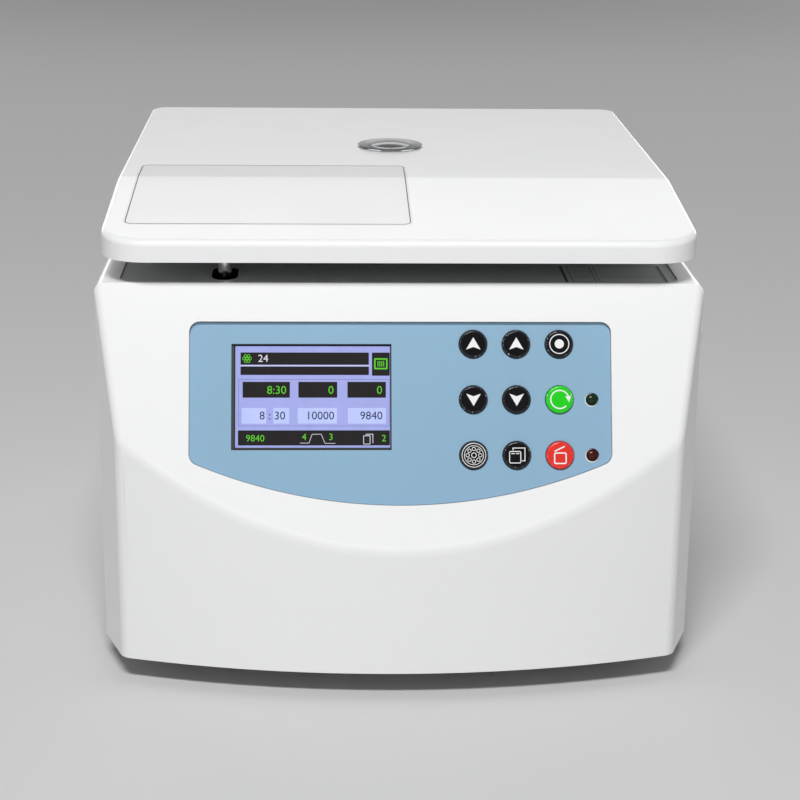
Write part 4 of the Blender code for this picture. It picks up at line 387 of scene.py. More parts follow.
FINISH = {
    "white_enamel": enamel("white_enamel", (0.862, 0.866, 0.872), 0.25, PEEL),
    "grey_enamel": enamel("grey_enamel", (0.38, 0.405, 0.40), 0.42, COARSE_PEEL),
    "blue_panel": panel_foil("blue_panel", (0.255, 0.425, 0.58)),
    "display_face": glowing("display_face", (0.32, 0.35, 0.68), 0.22),
    # Each key's last colour is its white rim chips, which are also painted glints
    "black_key": key_gloss("black_key", (0.004, 0.004, 0.006), (0.85, 0.85, 0.85)),
    "green_key": key_gloss("green_key", (0.018, 0.58, 0.016), (0.85, 0.95, 0.8)),
    "red_key": key_gloss("red_key", (0.72, 0.036, 0.026), (0.95, 0.85, 0.8)),
    "green_lamp": polished("green_lamp", (0.003, 0.020, 0.008), 0.15),
    "red_lamp": polished("red_lamp", (0.040, 0.003, 0.003), 0.15),
    "black_plastic": moulded("black_plastic", (0.015, 0.015, 0.017), 0.45, MOULD_GRAIN),
    "white_plastic": moulded("white_plastic", (0.78, 0.78, 0.765), 0.4, FINE_GRAIN, 0.975),
    "clear_plastic": clear_plastic("clear_plastic"),
    "brushed_steel": brushed("brushed_steel", (0.58, 0.58, 0.57), 0.3, (12, 900, 900)),
    "bright_steel": brushed("bright_steel", (0.74, 0.74, 0.74), 0.16, (300, 300, 40)),
    "alloy": turned_metal("alloy", (0.70, 0.71, 0.73), 0.3, 480),
    "zinc_sheet": zinc("zinc_sheet", (0.52, 0.53, 0.53)),
    "black_rubber": rubber("black_rubber", (0.015, 0.015, 0.015)),
    "grey_rubber": rubber("grey_rubber", (0.18, 0.18, 0.18)),
    "circuit_green": circuit("circuit_green", (0.012, 0.12, 0.05), (0.04, 0.26, 0.12)),
}
SPUN_STEEL = turned_metal("spun_steel", (0.50, 0.50, 0.495), 0.40, 300)
ICON_WHITE = enamel("icon_white", (0.84, 0.84, 0.84), 0.3, PRINT_PEEL)
INK_BLACK = enamel("ink_black", (0.022, 0.024, 0.026), 0.45, PRINT_PEEL)
LABEL_FILM = enamel("label_film", (0.745, 0.75, 0.75), 0.22, PRINT_PEEL)
PLATE_FILM = enamel("plate_film", (0.42, 0.44, 0.44), 0.32, PRINT_PEEL)
MATT_BLACK = moulded("matt_black", (0.006, 0.006, 0.007), 0.85, ROUGH_GRAIN)
set_shader(MATT_BLACK, Specular_IOR_Level=0.05)
SCREEN_DARK = glowing("screen_dark", (0.020, 0.018, 0.018), 0.05)
SCREEN_PALE = glowing("screen_pale", (0.45, 0.51, 0.84), 0.20)
SCREEN_LINE = glowing("screen_line", (0.20, 0.22, 0.46), 0.15)
SCREEN_GREEN = glowing("screen_green", (0.10, 0.50, 0.03), 0.25)
SCREEN_INK = glowing("screen_ink", (0.020, 0.028, 0.085), 0.03)
SCREEN_WHITE = glowing("screen_white", (0.60, 0.60, 0.70), 0.3)


# Pieces


def add_piece(shape, name, material, body, replaces=()):
    """Turns a bmesh into a named piece that moves with one body of the machine."""
    mesh = bpy.data.meshes.new(name)
    shape.to_mesh(mesh)
    shape.free()
    mesh.materials.append(material)
    mesh.shade_smooth()
    mesh.set_sharp_from_angle(angle=SHARP_EDGE)
    piece = bpy.data.objects.new(name, mesh)
    bpy.context.scene.collection.objects.link(piece)
    for node in replaces:
        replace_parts(piece, node)
    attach(piece, body)
    return piece


def weigh_normals(piece):
    """Keeps large flat faces flat in the shading and lets the narrow rounds carry the turn."""
    weigh = piece.modifiers.new("weighted_normals", "WEIGHTED_NORMAL")
    weigh.keep_sharp = True
    weigh.weight = 80
    return piece


def dress(shape, node, material=None):
    """Shows a CAD node through a finer shape of its own, in its own finish."""
    slot = SLOT_OF[node]
    piece = add_piece(shape, node + "_skin", material or FINISH[slot], BODY_OF[node], [node])
    return weigh_normals(piece)


# Outlines


def bend(centre, radius, start, end, steps=CORNER_STEPS):
    """Points of an arc, angles in degrees, for a profile or an outline."""
    points = []
    for i in range(steps + 1):
        angle = math.radians(start + (end - start) * i / steps)
        points.append((centre[0] + radius * math.cos(angle), centre[1] + radius * math.sin(angle)))
    return points


def circle(x, y, radius, steps=SMALL_STEPS):
    return bend((x, y), radius, 0, 360, steps)[:-1]


def box_outline(low, high, front_radius=0.0, back_radius=None, steps=CORNER_STEPS):
    """A rectangle's outline, its corners rounded apart in front and behind, or square at zero."""
    back_radius = front_radius if back_radius is None else back_radius
    corners = (
        (high[0] - back_radius, high[1] - back_radius, back_radius, 0),
        (low[0] + back_radius, high[1] - back_radius, back_radius, 90),
        (low[0] + front_radius, low[1] + front_radius, front_radius, 180),
        (high[0] - front_radius, low[1] + front_radius, front_radius, 270),
    )
    points = []
    for x, y, radius, start in corners:
        points += bend((x, y), radius, start, start + 90, steps) if radius else [(x, y)]
    return points


def slot_outline(x, y, width, length):
    """A slot with round ends, its length along the second axis."""
    radius = width / 2
    reach = length / 2 - radius
    return bend((x, y + reach), radius, 0, 180) + bend((x, y - reach), radius, 180, 360)


def ring(x, y, radius, width, steps=SMALL_STEPS):
    """Outer and inner outline of a flat ring whose line has that width."""
    return [circle(x, y, radius + width / 2, steps), circle(x, y, radius - width / 2, steps)]


def box_line(low, high, radius, width):
    """Outer and inner outline of a rounded box drawn with a line of that width."""
    inner_low = (low[0] + width, low[1] + width)
    inner_high = (high[0] - width, high[1] - width)
    inner_radius = max(radius - width, width / 4)
    outer = box_outline(low, high, radius, steps=LINE_CORNER_STEPS)
    return [outer, box_outline(inner_low, inner_high, inner_radius, steps=LINE_CORNER_STEPS)]


def stroke(points, width):
    """The outline of a line of that width through the points."""
    left, right = [], []
    for i, point in enumerate(points):
        before = Vector(points[max(i - 1, 0)])
        after = Vector(points[min(i + 1, len(points) - 1)])
        here = Vector(point)
        first = (here - before).normalized() if i else (after - here).normalized()
        second = (after - here).normalized() if i < len(points) - 1 else first
        middle = (first + second).normalized()
        side = Vector((-middle.y, middle.x)) * (width / 2 / max(0.5, middle.dot(first)))
        left.append(tuple(here + side))
        right.append(tuple(here - side))
    return left + right[::-1]


# Shapes


def merge_into(shape, part):
    """Adds one bmesh to another and frees it."""
    mesh = bpy.data.meshes.new("part")
    part.to_mesh(mesh)
    part.free()
    shape.from_mesh(mesh)
    bpy.data.meshes.remove(mesh)


def draw_loop(shape, outline, height=0.0):
    """A closed line of edges through an outline's points."""
    verts = [shape.verts.new((x, y, height)) for x, y in outline]
    for i, vert in enumerate(verts):
        shape.edges.new((vert, verts[(i + 1) % len(verts)]))


def add_flat(shape, loops, place=UNMOVED):
    """Fills outlines, holes left open, as a flat face that looks along the place's third axis."""
    part = bmesh.new()
    for loop in loops:
        draw_loop(part, loop)
    bmesh.ops.triangle_fill(part, use_beauty=True, use_dissolve=False, edges=part.edges, normal=UP)
    turned_over = [face for face in part.faces if face.normal.z < 0]
    bmesh.ops.reverse_faces(part, faces=turned_over)
    part.transform(place)
    merge_into(shape, part)


def thicken(shape, step):
    """Gives flat shapes a thickness, their front side moved by the step."""
    made = bmesh.ops.extrude_face_region(shape, geom=shape.faces[:])
    verts = [item for item in made["geom"] if isinstance(item, bmesh.types.BMVert)]
    bmesh.ops.translate(shape, verts=verts, vec=step)
    bmesh.ops.recalc_face_normals(shape, faces=shape.faces)


def soften(shape, edges, radius, segments):
    bmesh.ops.bevel(shape, geom=edges, offset=radius, offset_type="OFFSET", segments=segments,
                    profile=0.5, affect="EDGES", material=-1, clamp_overlap=True)


def sharp_edges(shape, angle=SHARP_EDGE):
    return [edge for edge in shape.edges if len(edge.link_faces) == 2 and edge.calc_face_angle() > angle]


def plate(loops, low, high, place=UNMOVED, edge=0.0, segments=3):
    """A flat plate between two heights, with holes, its corners rounded off by the edge."""
    shape = bmesh.new()
    add_flat(shape, loops, Matrix.Translation((0, 0, low)))
    thicken(shape, (0, 0, high - low))
    if edge:
        soften(shape, sharp_edges(shape), edge, segments)
    shape.transform(place)
    return shape


def prism(outline, low, high, place=UNMOVED):
    """A straight-sided solid over an outline, between two heights, each end one face."""
    shape = bmesh.new()
    draw_loop(shape, outline, low)
    bmesh.ops.edgeloop_fill(shape, edges=shape.edges[:])
    thicken(shape, (0, 0, high - low))
    shape.transform(place)
    return shape


def block(low, high):
    """A plain box, for cutting and joining."""
    shape = bmesh.new()
    size = Vector(high) - Vector(low)
    middle = (Vector(high) + Vector(low)) / 2
    bmesh.ops.create_cube(shape, size=1, matrix=Matrix.Translation(middle) @ Matrix.Diagonal((*size, 1)))
    return shape


def rod(radius, start, end, steps=SMALL_STEPS):
    """A plain cylinder between two points."""
    span = Vector(end) - Vector(start)
    turn = span.to_track_quat("Z", "Y").to_matrix().to_4x4()
    place = Matrix.Translation((Vector(start) + Vector(end)) / 2) @ turn
    shape = bmesh.new()
    bmesh.ops.create_cone(shape, cap_ends=True, segments=steps, radius1=radius, radius2=radius,
                          depth=span.length, matrix=place)
    return shape


def gathered(shapes):
    """Several shapes in one bmesh."""
    whole = bmesh.new()
    for shape in shapes:
        merge_into(whole, shape)
    return whole


def turned(profile, place=UNMOVED, steps=ROUND_STEPS):
    """A shape spun from a profile of (radius, height) points."""
    shape = bmesh.new()
    verts = [shape.verts.new((radius, 0, height)) for radius, height in profile]
    for first, second in zip(verts, verts[1:]):
        shape.edges.new((first, second))
    return spun(shape, place, steps)


def spun(shape, place, steps):
    """Spins the edges of a half section round the vertical axis."""
    bmesh.ops.spin(shape, geom=shape.verts[:] + shape.edges[:], axis=UP, cent=(0, 0, 0),
                   angle=math.tau, steps=steps, use_merge=True)
    bmesh.ops.remove_doubles(shape, verts=shape.verts, dist=WELD)
    bmesh.ops.recalc_face_normals(shape, faces=shape.faces)
    shape.transform(place)
    return shape


def dome_points(radius, crown, top, steps=CORNER_STEPS):
    """Points of a shallow dome from its middle to its edge, for a profile."""
    ball = (radius * radius + crown * crown) / (2 * crown)
    points = []
    for i in range(steps + 1):
        r = radius * i / steps
        points.append((r, top - ball + math.sqrt(ball * ball - r * r)))
    return points


def holder_of(shape):
    """A passing object that holds a bmesh while a modifier works on it."""
    mesh = bpy.data.meshes.new("passing")
    shape.to_mesh(mesh)
    shape.free()
    holder = bpy.data.objects.new("passing", mesh)
    bpy.context.scene.collection.objects.link(holder)
    return holder


def combined(shape, *steps, wall=0.0):
    """The shape, given a wall on its inner side, with each step's shape joined to it or cut out."""
    holder = holder_of(shape)
    passing = [holder]
    if wall:
        shell = holder.modifiers.new("wall", "SOLIDIFY")
        shell.thickness = wall
        shell.offset = -1
        shell.use_even_offset = True
    for operation, other in steps:
        tool = holder_of(other)
        passing.append(tool)
        change = holder.modifiers.new("change", "BOOLEAN")
        change.operation = operation
        change.object = tool
    bpy.context.view_layer.update()
    result = bmesh.new()
    result.from_object(holder, bpy.context.evaluated_depsgraph_get())
    for item in passing:
        mesh = item.data
        bpy.data.objects.remove(item)
        bpy.data.meshes.remove(mesh)
    bmesh.ops.remove_doubles(result, verts=result.verts, dist=WELD)
    return result


def surface_of(piece):
    """A tree of a piece's faces, to lay marks on."""
    shape = bmesh.new()
    shape.from_mesh(piece.data)
    tree = BVHTree.FromBMesh(shape)
    shape.free()
    return tree


def settle(shape, surface, towards, lift=PRINT_LIFT):
    """Lays a flat shape on a surface and gives it a printed mark's thickness."""
    for vert in shape.verts:
        hit = surface.ray_cast(vert.co - towards * REACH, towards)[0]
        if hit:
            vert.co = hit - towards * lift
    thicken(shape, -towards * PRINT)


def node_shape(node):
    """A CAD node's shape with its loose triangles merged."""
    shape = bmesh.new()
    shape.from_mesh(NODES[node].data)
    bmesh.ops.remove_doubles(shape, verts=shape.verts, dist=WELD)
    return shape


def softened_node(node, radius=0.0, segments=2):
    """A CAD node's shape with its flat faces whole and its sharp edges rounded."""
    shape = node_shape(node)
    bmesh.ops.dissolve_limit(shape, angle_limit=FLAT_ANGLE, verts=shape.verts, edges=shape.edges)
    if radius:
        soften(shape, sharp_edges(shape), radius, segments)
    return shape


def spun_node(node, radius=0.0, steps=ROUND_STEPS, segments=3):
    """A turned CAD node made again round its own axis, in many more steps."""
    source = node_shape(node)
    middle = middle_of(node)
    half_section = {}
    shape = bmesh.new()
    for vert in source.verts:
        if abs(vert.co.y - middle.y) < WELD and vert.co.x > middle.x - WELD:
            half_section[vert] = shape.verts.new((max(0, vert.co.x - middle.x), 0, vert.co.z))
    for edge in source.edges:
        first, second = edge.verts
        if first in half_section and second in half_section:
            shape.edges.new((half_section[first], half_section[second]))
    source.free()
    spun(shape, Matrix.Translation((middle.x, middle.y, 0)), steps)
    if radius:
        soften(shape, sharp_edges(shape), radius, segments)
    return shape


def text_shape(shape, text, height, x, y, place, align="RIGHT"):
    """Adds plain numbers of that height, their line ending, starting or centred at x."""
    curve = bpy.data.curves.new("numbers", "FONT")
    curve.body = text
    curve.size = height * DIGIT_SHARE
    curve.align_x = align
    curve.resolution_u = 4
    holder = bpy.data.objects.new("numbers", curve)
    bpy.context.scene.collection.objects.link(holder)
    bpy.context.view_layer.update()
    mesh = bpy.data.meshes.new_from_object(holder.evaluated_get(bpy.context.evaluated_depsgraph_get()))
    part = bmesh.new()
    part.from_mesh(mesh)
    bmesh.ops.remove_doubles(part, verts=part.verts, dist=WELD)
    part.transform(place @ Matrix.Translation((x, y, 0)))
    merge_into(shape, part)
    bpy.data.objects.remove(holder)
    bpy.data.curves.remove(curve)
    bpy.data.meshes.remove(mesh)


# Casing: a hood with a ledge for the deck, open in front and below

CASING_WALL = 3 * MM
CASING_REAR_RADIUS = 9 * MM
CASING_EDGE = 4.2 * MM
CASING_EDGE_STEPS = 8
DECK_RADIUS = 7.7 * MM
LEDGE_WIDTH = 4 * MM
LEDGE_THICKNESS = 3 * MM
LEDGE_ROOT = 5 * MM
LEDGE_BITE = 0.5 * MM
VENT_COUNT = 10
VENT_LEFT = 10 * MM
VENT_PITCH = 10 * MM
VENT_WIDTH = 4 * MM
VENT_LOW = 45 * MM
VENT_HIGH = 100 * MM
INLET_FLANGE = 1.8 * MM
SWITCH_FLANGE = 2.2 * MM
PLUG_STEM_RADIUS = 4 * MM


def deck_edge(grow):
    """The deck plate's outline, grown or shrunk evenly."""
    low = (DECK_LOW.x - grow, DECK_LOW.y - grow)
    high = (DECK_HIGH.x + grow, DECK_HIGH.y + grow)
    return box_outline(low, high, DECK_RADIUS + grow)


def wall_hole(node, inset):
    """A hole in the rear wall for a node's body behind its flange."""
    low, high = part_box(node)
    return block((low.x + inset, REAR_Y - CASING_WALL - OVERRUN, low.z + inset),
                 (high.x - inset, REAR_Y + OVERRUN, high.z - inset))


def make_casing():
    low = (CASING_LOW.x, CASING_LOW.y)
    high = (CASING_HIGH.x, REAR_Y)
    shape = prism(box_outline(low, high, 0, CASING_REAR_RADIUS), CASING_LOW.z, DECK_Z)
    gone = [face for face in shape.faces
            if face.normal.z < -FACING_SHARE or face.normal.y < -SQUARE_ON_SHARE]
    bmesh.ops.delete(shape, geom=gone, context="FACES")
    rim = [edge for edge in sharp_edges(shape)
           if all(abs(vert.co.z - DECK_Z) < WELD for vert in edge.verts)]
    soften(shape, rim, CASING_EDGE, CASING_EDGE_STEPS)

    ledge_top = DECK_Z - CASING_WALL
    root = LEDGE_ROOT - SEAT
    ledge_low = (DECK_LOW.x - root, CASING_LOW.y + SEAT)
    ledge_high = (DECK_HIGH.x + root, DECK_HIGH.y + root)
    ledge = plate([box_outline(ledge_low, ledge_high, 0, DECK_RADIUS), deck_edge(SEAT - LEDGE_WIDTH)],
                  ledge_top - LEDGE_THICKNESS, ledge_top + LEDGE_BITE)
    opening = prism(deck_edge(SEAT), ledge_top, DECK_Z + OVERRUN)
    vents = []
    for i in range(VENT_COUNT):
        x = VENT_LEFT + i * VENT_PITCH
        outline = slot_outline(-x, (VENT_LOW + VENT_HIGH) / 2, VENT_WIDTH, VENT_HIGH - VENT_LOW)
        vents.append(prism(outline, -CASING_WALL - OVERRUN, OVERRUN, REAR_WALL))
    plug = middle_of("release_plug")
    plug_hole = rod(PLUG_STEM_RADIUS + SEAT, (CASING_HIGH.x - CASING_WALL - OVERRUN, plug.y, plug.z),
                    (CASING_HIGH.x + OVERRUN, plug.y, plug.z))
    shape = combined(
        shape, (JOIN, ledge), (CUT, opening), (CUT, wall_hole("mains_inlet", INLET_FLANGE - SEAT)),
        (CUT, wall_hole("switch_frame", SWITCH_FLANGE - SEAT)), (CUT, gathered(vents)), (CUT, plug_hole),
        wall=CASING_WALL)
    dress(shape, "casing")


# Deck plate, with the chamber's hole and the lock's slot

CHAMBER_HOLE_RADIUS = 107 * MM
LOCK_SLOT_WIDTH = 12.1 * MM
LOCK_SLOT_LENGTH = 24 * MM
DECK_SOFT_EDGE = 0.35 * MM
SLOT_SLEEVE = 0.25 * MM
SLOT_SLEEVE_PROUD = 0.15 * MM


def make_deck():
    pin = middle_of("lock_pin")
    loops = [deck_edge(0), circle(0, ROTOR_Y, CHAMBER_HOLE_RADIUS, ROUND_STEPS),
             slot_outline(pin.x, pin.y, LOCK_SLOT_WIDTH, LOCK_SLOT_LENGTH)]
    rim = slot_outline(pin.x, pin.y, LOCK_SLOT_WIDTH + SLOT_SLEEVE, LOCK_SLOT_LENGTH + SLOT_SLEEVE)
    inner = slot_outline(pin.x, pin.y, LOCK_SLOT_WIDTH - SLOT_SLEEVE, LOCK_SLOT_LENGTH - SLOT_SLEEVE)
    sleeve = plate([rim, inner], DECK_LOW.z, DECK_HIGH.z + SLOT_SLEEVE_PROUD)
    add_piece(sleeve, "lock_slot_sleeve", MATT_BLACK, "housing")
    return dress(plate(loops, DECK_LOW.z, DECK_HIGH.z, edge=DECK_SOFT_EDGE), "deck_plate")


# Front cover: a tapering nose cut off by the sloping panel's plane, with the panel's recess

COVER_REACH = PARTING_Y - COVER_LOW.y
COVER_SIDE_REACH = 27.8 * MM
COVER_NOSE_INSET = 10.6 * MM
COVER_WALL = 3 * MM
COVER_EDGE = 3.2 * MM
COVER_EDGE_STEPS = 6
COVER_ARC_STEPS = 56
PANEL_SAG = 20.5 * MM
PANEL_TOP_CORNER = 4.7 * MM
PANEL_LOW_CORNER = 5.2 * MM
PANEL_ARC_STEPS = 48
PANEL_RECESS = 3.4 * MM
PANEL_FLOOR = 2.2 * MM
PANEL_BACKING_MARGIN = 3.5 * MM
PANEL_BACKING_ROOT = 1.5 * MM
PANEL_LIP = 1.2 * MM
PANEL_SOFT_EDGE = 0.12 * MM
KEY_COLLAR = 0.9 * MM
KEY_POST_RADIUS = 3 * MM
KEY_POST_INSET = 4 * MM
KEY_NODES = [node for node, slot in SLOT_OF.items() if node.startswith("key_") and slot != "circuit_green"]
LAMP_NODES = ("lamp_run", "lamp_stop")


def nose_outline(inset, behind):
    """Plan of the cover: two sides that taper in, and a flat arc that joins them across the front."""
    edge = CASING_HIGH.x - COVER_NOSE_INSET
    sagitta = COVER_REACH - COVER_SIDE_REACH
    radius = (edge ** 2 + sagitta ** 2) / (2 * sagitta)
    centre = COVER_REACH - radius
    slope = COVER_NOSE_INSET / COVER_SIDE_REACH
    half = CASING_HIGH.x - inset * math.sqrt(1 + slope ** 2)
    # Where the side line meets the arc
    a = 1 + slope ** 2
    b = -2 * (slope * half + centre)
    c = half ** 2 + centre ** 2 - (radius - inset) ** 2
    forward = (-b + math.sqrt(b ** 2 - 4 * a * c)) / (2 * a)
    sweep = math.asin((half - slope * forward) / (radius - inset))
    back = PARTING_Y + behind
    points = [(-half - slope * behind, back)]
    for i in range(COVER_ARC_STEPS + 1):
        angle = sweep * (2 * i / COVER_ARC_STEPS - 1)
        forward = centre + (radius - inset) * math.cos(angle)
        points.append(((radius - inset) * math.sin(angle), PARTING_Y - forward))
    points.append((half + slope * behind, back))
    return points


def cut_off(shape, point, normal):
    """Cuts away what lies beyond a plane and closes the cut."""
    sliced = bmesh.ops.bisect_plane(shape, geom=shape.verts[:] + shape.edges[:] + shape.faces[:],
                                    dist=WELD, plane_co=point, plane_no=normal, clear_outer=True)
    rim = [item for item in sliced["geom_cut"] if isinstance(item, bmesh.types.BMEdge)]
    bmesh.ops.edgeloop_fill(shape, edges=rim)
    bmesh.ops.recalc_face_normals(shape, faces=shape.faces)


def nose_shape(inset, behind, low, high):
    shape = prism(nose_outline(inset, behind), low, high)
    cut_off(shape, PANEL.translation - OUT * inset, OUT)
    return shape


def panel_outline(grow):
    """Outline of the panel: straight top and sides, and a wide arc below."""
    low, high = panel_box("panel_face")
    seated_half = high.x + SEAT
    bow = (seated_half ** 2 + PANEL_SAG ** 2) / (2 * PANEL_SAG)
    radius = bow - SEAT + grow
    half = high.x + grow
    top = high.y + grow
    centre = low.y - SEAT + bow
    top_corner = PANEL_TOP_CORNER + grow
    corner = PANEL_LOW_CORNER + grow
    corner_x = half - corner
    corner_y = centre - math.sqrt((radius - corner) ** 2 - corner_x ** 2)
    lean = math.degrees(math.atan2(corner_x, centre - corner_y))
    points = bend((half - top_corner, top - top_corner), top_corner, 90, 0)
    points += bend((corner_x, corner_y), corner, 0, lean - 90)
    points += bend((0, centre), radius, lean - 90, -lean - 90, PANEL_ARC_STEPS)[1:-1]
    points += bend((-corner_x, corner_y), corner, -lean - 90, -180)
    points += bend((-half + top_corner, top - top_corner), top_corner, 180, 90)
    return points


def panel_holes():
    """Outlines of the holes for the keys and lamps."""
    holes = []
    for node in (*KEY_NODES, *LAMP_NODES):
        low, high = panel_box(node)
        collar = KEY_COLLAR if node in KEY_NODES else 0
        radius = (high.x - low.x) / 2 - collar + SEAT
        holes.append(circle((low.x + high.x) / 2, (low.y + high.y) / 2, radius))
    return holes


def display_window(grow):
    low, high = panel_box("display_frame")
    return [(low.x - grow, low.y - grow), (high.x + grow, low.y - grow),
            (high.x + grow, high.y + grow), (low.x - grow, high.y + grow)]


def key_posts():
    """Posts behind the panel that carry the key board."""
    low, high = panel_box("key_board")
    left, right = low.x + KEY_POST_INSET, high.x - KEY_POST_INSET
    bottom, top = low.y + KEY_POST_INSET, high.y - KEY_POST_INSET
    posts = []
    for x, y in ((left, bottom), (left, top), (right, top)):
        start = PANEL @ Vector((x, y, high.z + SEAT))
        end = PANEL @ Vector((x, y, -PANEL_RECESS - PANEL_FLOOR / 2))
        posts.append(rod(KEY_POST_RADIUS, start, end))
    return gathered(posts)


def make_cover():
    outer = nose_shape(0, 0, CASING_LOW.z, DECK_Z)
    edges = [edge for edge in sharp_edges(outer, CREASED_EDGE)
             if not all(abs(vert.co.y - PARTING_Y) < WELD for vert in edge.verts)
             and not all(abs(vert.co.z - CASING_LOW.z) < WELD for vert in edge.verts)]
    soften(outer, edges, COVER_EDGE, COVER_EDGE_STEPS)
    hollow = nose_shape(COVER_WALL, OVERRUN, CASING_LOW.z - OVERRUN, DECK_Z)
    depth = PANEL_RECESS + PANEL_FLOOR
    backing = prism(panel_outline(SEAT + PANEL_BACKING_MARGIN), -depth, -PANEL_BACKING_ROOT, PANEL)
    recess = prism(panel_outline(SEAT), -PANEL_RECESS, OVERRUN, PANEL)
    windows = [prism(outline, -depth - OVERRUN, -PANEL_RECESS + OVERRUN, PANEL)
               for outline in [display_window(SEAT)] + panel_holes()]
    shape = combined(outer, (CUT, hollow), (JOIN, backing), (JOIN, key_posts()), (CUT, recess),
                     (CUT, gathered(windows)))
    dress(shape, "front_cover")


def make_panel_face():
    low, high = panel_box("panel_face")
    glass_low, glass_high = panel_box("display_frame")
    window_low = (glass_low.x + PANEL_LIP, glass_low.y + PANEL_LIP)
    window_high = (glass_high.x - PANEL_LIP, glass_high.y - PANEL_LIP)
    loops = [panel_outline(0), box_outline(window_low, window_high, PANEL_SOFT_EDGE, steps=3)]
    loops += panel_holes()
    dress(plate(loops, low.z, high.z, PANEL, PANEL_SOFT_EDGE, 2), "panel_face")


# Lid: flat over the chamber, then sloping down to its front edge

LID_FRONT_RADIUS = 22 * MM
LID_REAR_RADIUS = 10 * MM
LID_EDGE = 3 * MM
LID_EDGE_STEPS = 7
LID_WALL = 2.5 * MM
LID_FRONT_DROP = 9.8 * MM
LID_CREASE_Y = PARTING_Y + 92.3 * MM
LID_CREASE_REACH = 2.5 * MM
LID_CREASE_STEPS = 5
LINER_SOFT_EDGE = 0.4 * MM
LOCK_STUD_RADIUS = 3 * MM
SIGHT_DOME_RADIUS = 12.5 * MM
SIGHT_GLASS = 1.2 * MM
SIGHT_FLANGE = 1.0 * MM
SIGHT_EDGE = 0.45 * MM


def lid_outline(inset):
    low = (LID_LOW.x + inset, LID_LOW.y + inset)
    high = (LID_HIGH.x - inset, LID_HIGH.y - inset)
    return box_outline(low, high, LID_FRONT_RADIUS - inset, LID_REAR_RADIUS - inset)


def sight_hole_radius():
    low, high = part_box("sight_tube")
    return (high.x - low.x) / 2 + SEAT


def make_lid():
    shape = prism(lid_outline(0), LID_LOW.z, LID_HIGH.z)
    fall = math.atan2(LID_FRONT_DROP, LID_CREASE_Y - LID_LOW.y)
    radius = LID_CREASE_REACH / math.tan(fall / 2)
    for step in range(1, LID_CREASE_STEPS + 1):
        angle = fall * step / LID_CREASE_STEPS
        normal = Vector((0, -math.sin(angle), math.cos(angle)))
        centre = Vector((0, LID_CREASE_Y + LID_CREASE_REACH, LID_HIGH.z - radius))
        cut_off(shape, centre + normal * radius, normal)
    underside = [face for face in shape.faces if face.normal.z < -FACING_SHARE]
    bmesh.ops.delete(shape, geom=underside, context="FACES")
    soften(shape, sharp_edges(shape, SQUARE_EDGE), LID_EDGE, LID_EDGE_STEPS)
    hole = rod(sight_hole_radius(), (0, ROTOR_Y, LID_HIGH.z - LID_WALL - OVERRUN),
               (0, ROTOR_Y, LID_HIGH.z + OVERRUN))
    return dress(combined(shape, (CUT, hole), wall=LID_WALL), "lid_shell")


def make_liner():
    low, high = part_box("lid_liner")
    pin = middle_of("lock_pin")
    loops = [lid_outline(LID_WALL + SEAT), circle(0, ROTOR_Y, sight_hole_radius()),
             circle(pin.x, pin.y, LOCK_STUD_RADIUS + SEAT)]
    dress(plate(loops, low.z, high.z, edge=LINER_SOFT_EDGE), "lid_liner")


def make_sight_glass():
    """The clear dome over the lid's sight hole, on its flat flange."""
    low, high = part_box("sight_lens")
    middle = middle_of("sight_lens")
    flange = (high.x - low.x) / 2
    rise = high.z - low.z
    under = rise - SIGHT_GLASS
    outside = dome_points(SIGHT_DOME_RADIUS, rise - SIGHT_FLANGE, rise)
    brim = bend((flange - SIGHT_EDGE, SIGHT_FLANGE - SIGHT_EDGE), SIGHT_EDGE, 90, 0, 6) + [(flange, 0)]
    inside = dome_points(SIGHT_DOME_RADIUS - SIGHT_GLASS, under, under)[::-1]
    place = Matrix.Translation((middle.x, middle.y, low.z))
    add_piece(turned(outside + brim + inside, place), "sight_dome", FINISH["clear_plastic"], "lid",
              ["sight_lens"])


# Keys

KEY_RIM = 1.1 * MM
KEY_CROWN = 0.12 * MM
KEY_COLLAR_HEIGHT = 1.2 * MM
WORN_AND_GLINTING_RIM_SHARE = 0.8
ICON_LINE = 0.62 * MM
ARROW_TIP = 3.1 * MM
ARROW_FOOT = 2.7 * MM
ARROW_NOTCH = 1.45 * MM
ARROW_HALF = 3.4 * MM
DOT_RADIUS = 2.15 * MM
DOT_RING_RADIUS = 4.5 * MM
DOT_RING_LINE = 0.45 * MM
CIRCLING_RADIUS = 4.25 * MM
CIRCLING_START, CIRCLING_END = 12, 315
CIRCLING_STEPS = 40
CIRCLING_HEAD = 1.3 * MM
CIRCLING_DROP = 1.7 * MM
CIRCLING_HEAD_SHARES = ((-1.3, 0.85), (0.8, 1.0), (0.1, -0.75))
ROTOR_ICON_RINGS = ((5.55 * MM, 0.3 * MM), (4.45 * MM, 0.28 * MM), (1.1 * MM, 0.34 * MM))
ROTOR_ICON_SPOKE = 2.95 * MM
ROTOR_ICON_PLACE = 0.8 * MM
ROTOR_ICON_LINE = 0.3 * MM
ROTOR_ICON_COUNT = 8
PAGE_LOW, PAGE_HIGH = (-3.75 * MM, -3.85 * MM), (1.9 * MM, 1.95 * MM)
PAGE_CORNER = 0.8 * MM
PAGE_LINE = 0.42 * MM
PAGE_BARS = ((-2.7 * MM, -1.2 * MM), (-0.5 * MM, 1.0 * MM))
PAGE_BAR_HEIGHT = 0.75 * MM
BEHIND_LEFT, BEHIND_RIGHT = -1.95 * MM, 3.65 * MM
BEHIND_START, BEHIND_TOP, BEHIND_LOW = 2.3 * MM, 3.35 * MM, -2.6 * MM
BEHIND_END = 2.3 * MM
OPEN_BOX_LOW, OPEN_BOX_HIGH = (-3.0 * MM, -4.2 * MM), (3.0 * MM, 1.3 * MM)
OPEN_BOX_CORNER = 0.9 * MM
OPEN_BOX_LID = ((-2.7 * MM, 1.75 * MM), (2.1 * MM, 4.1 * MM))


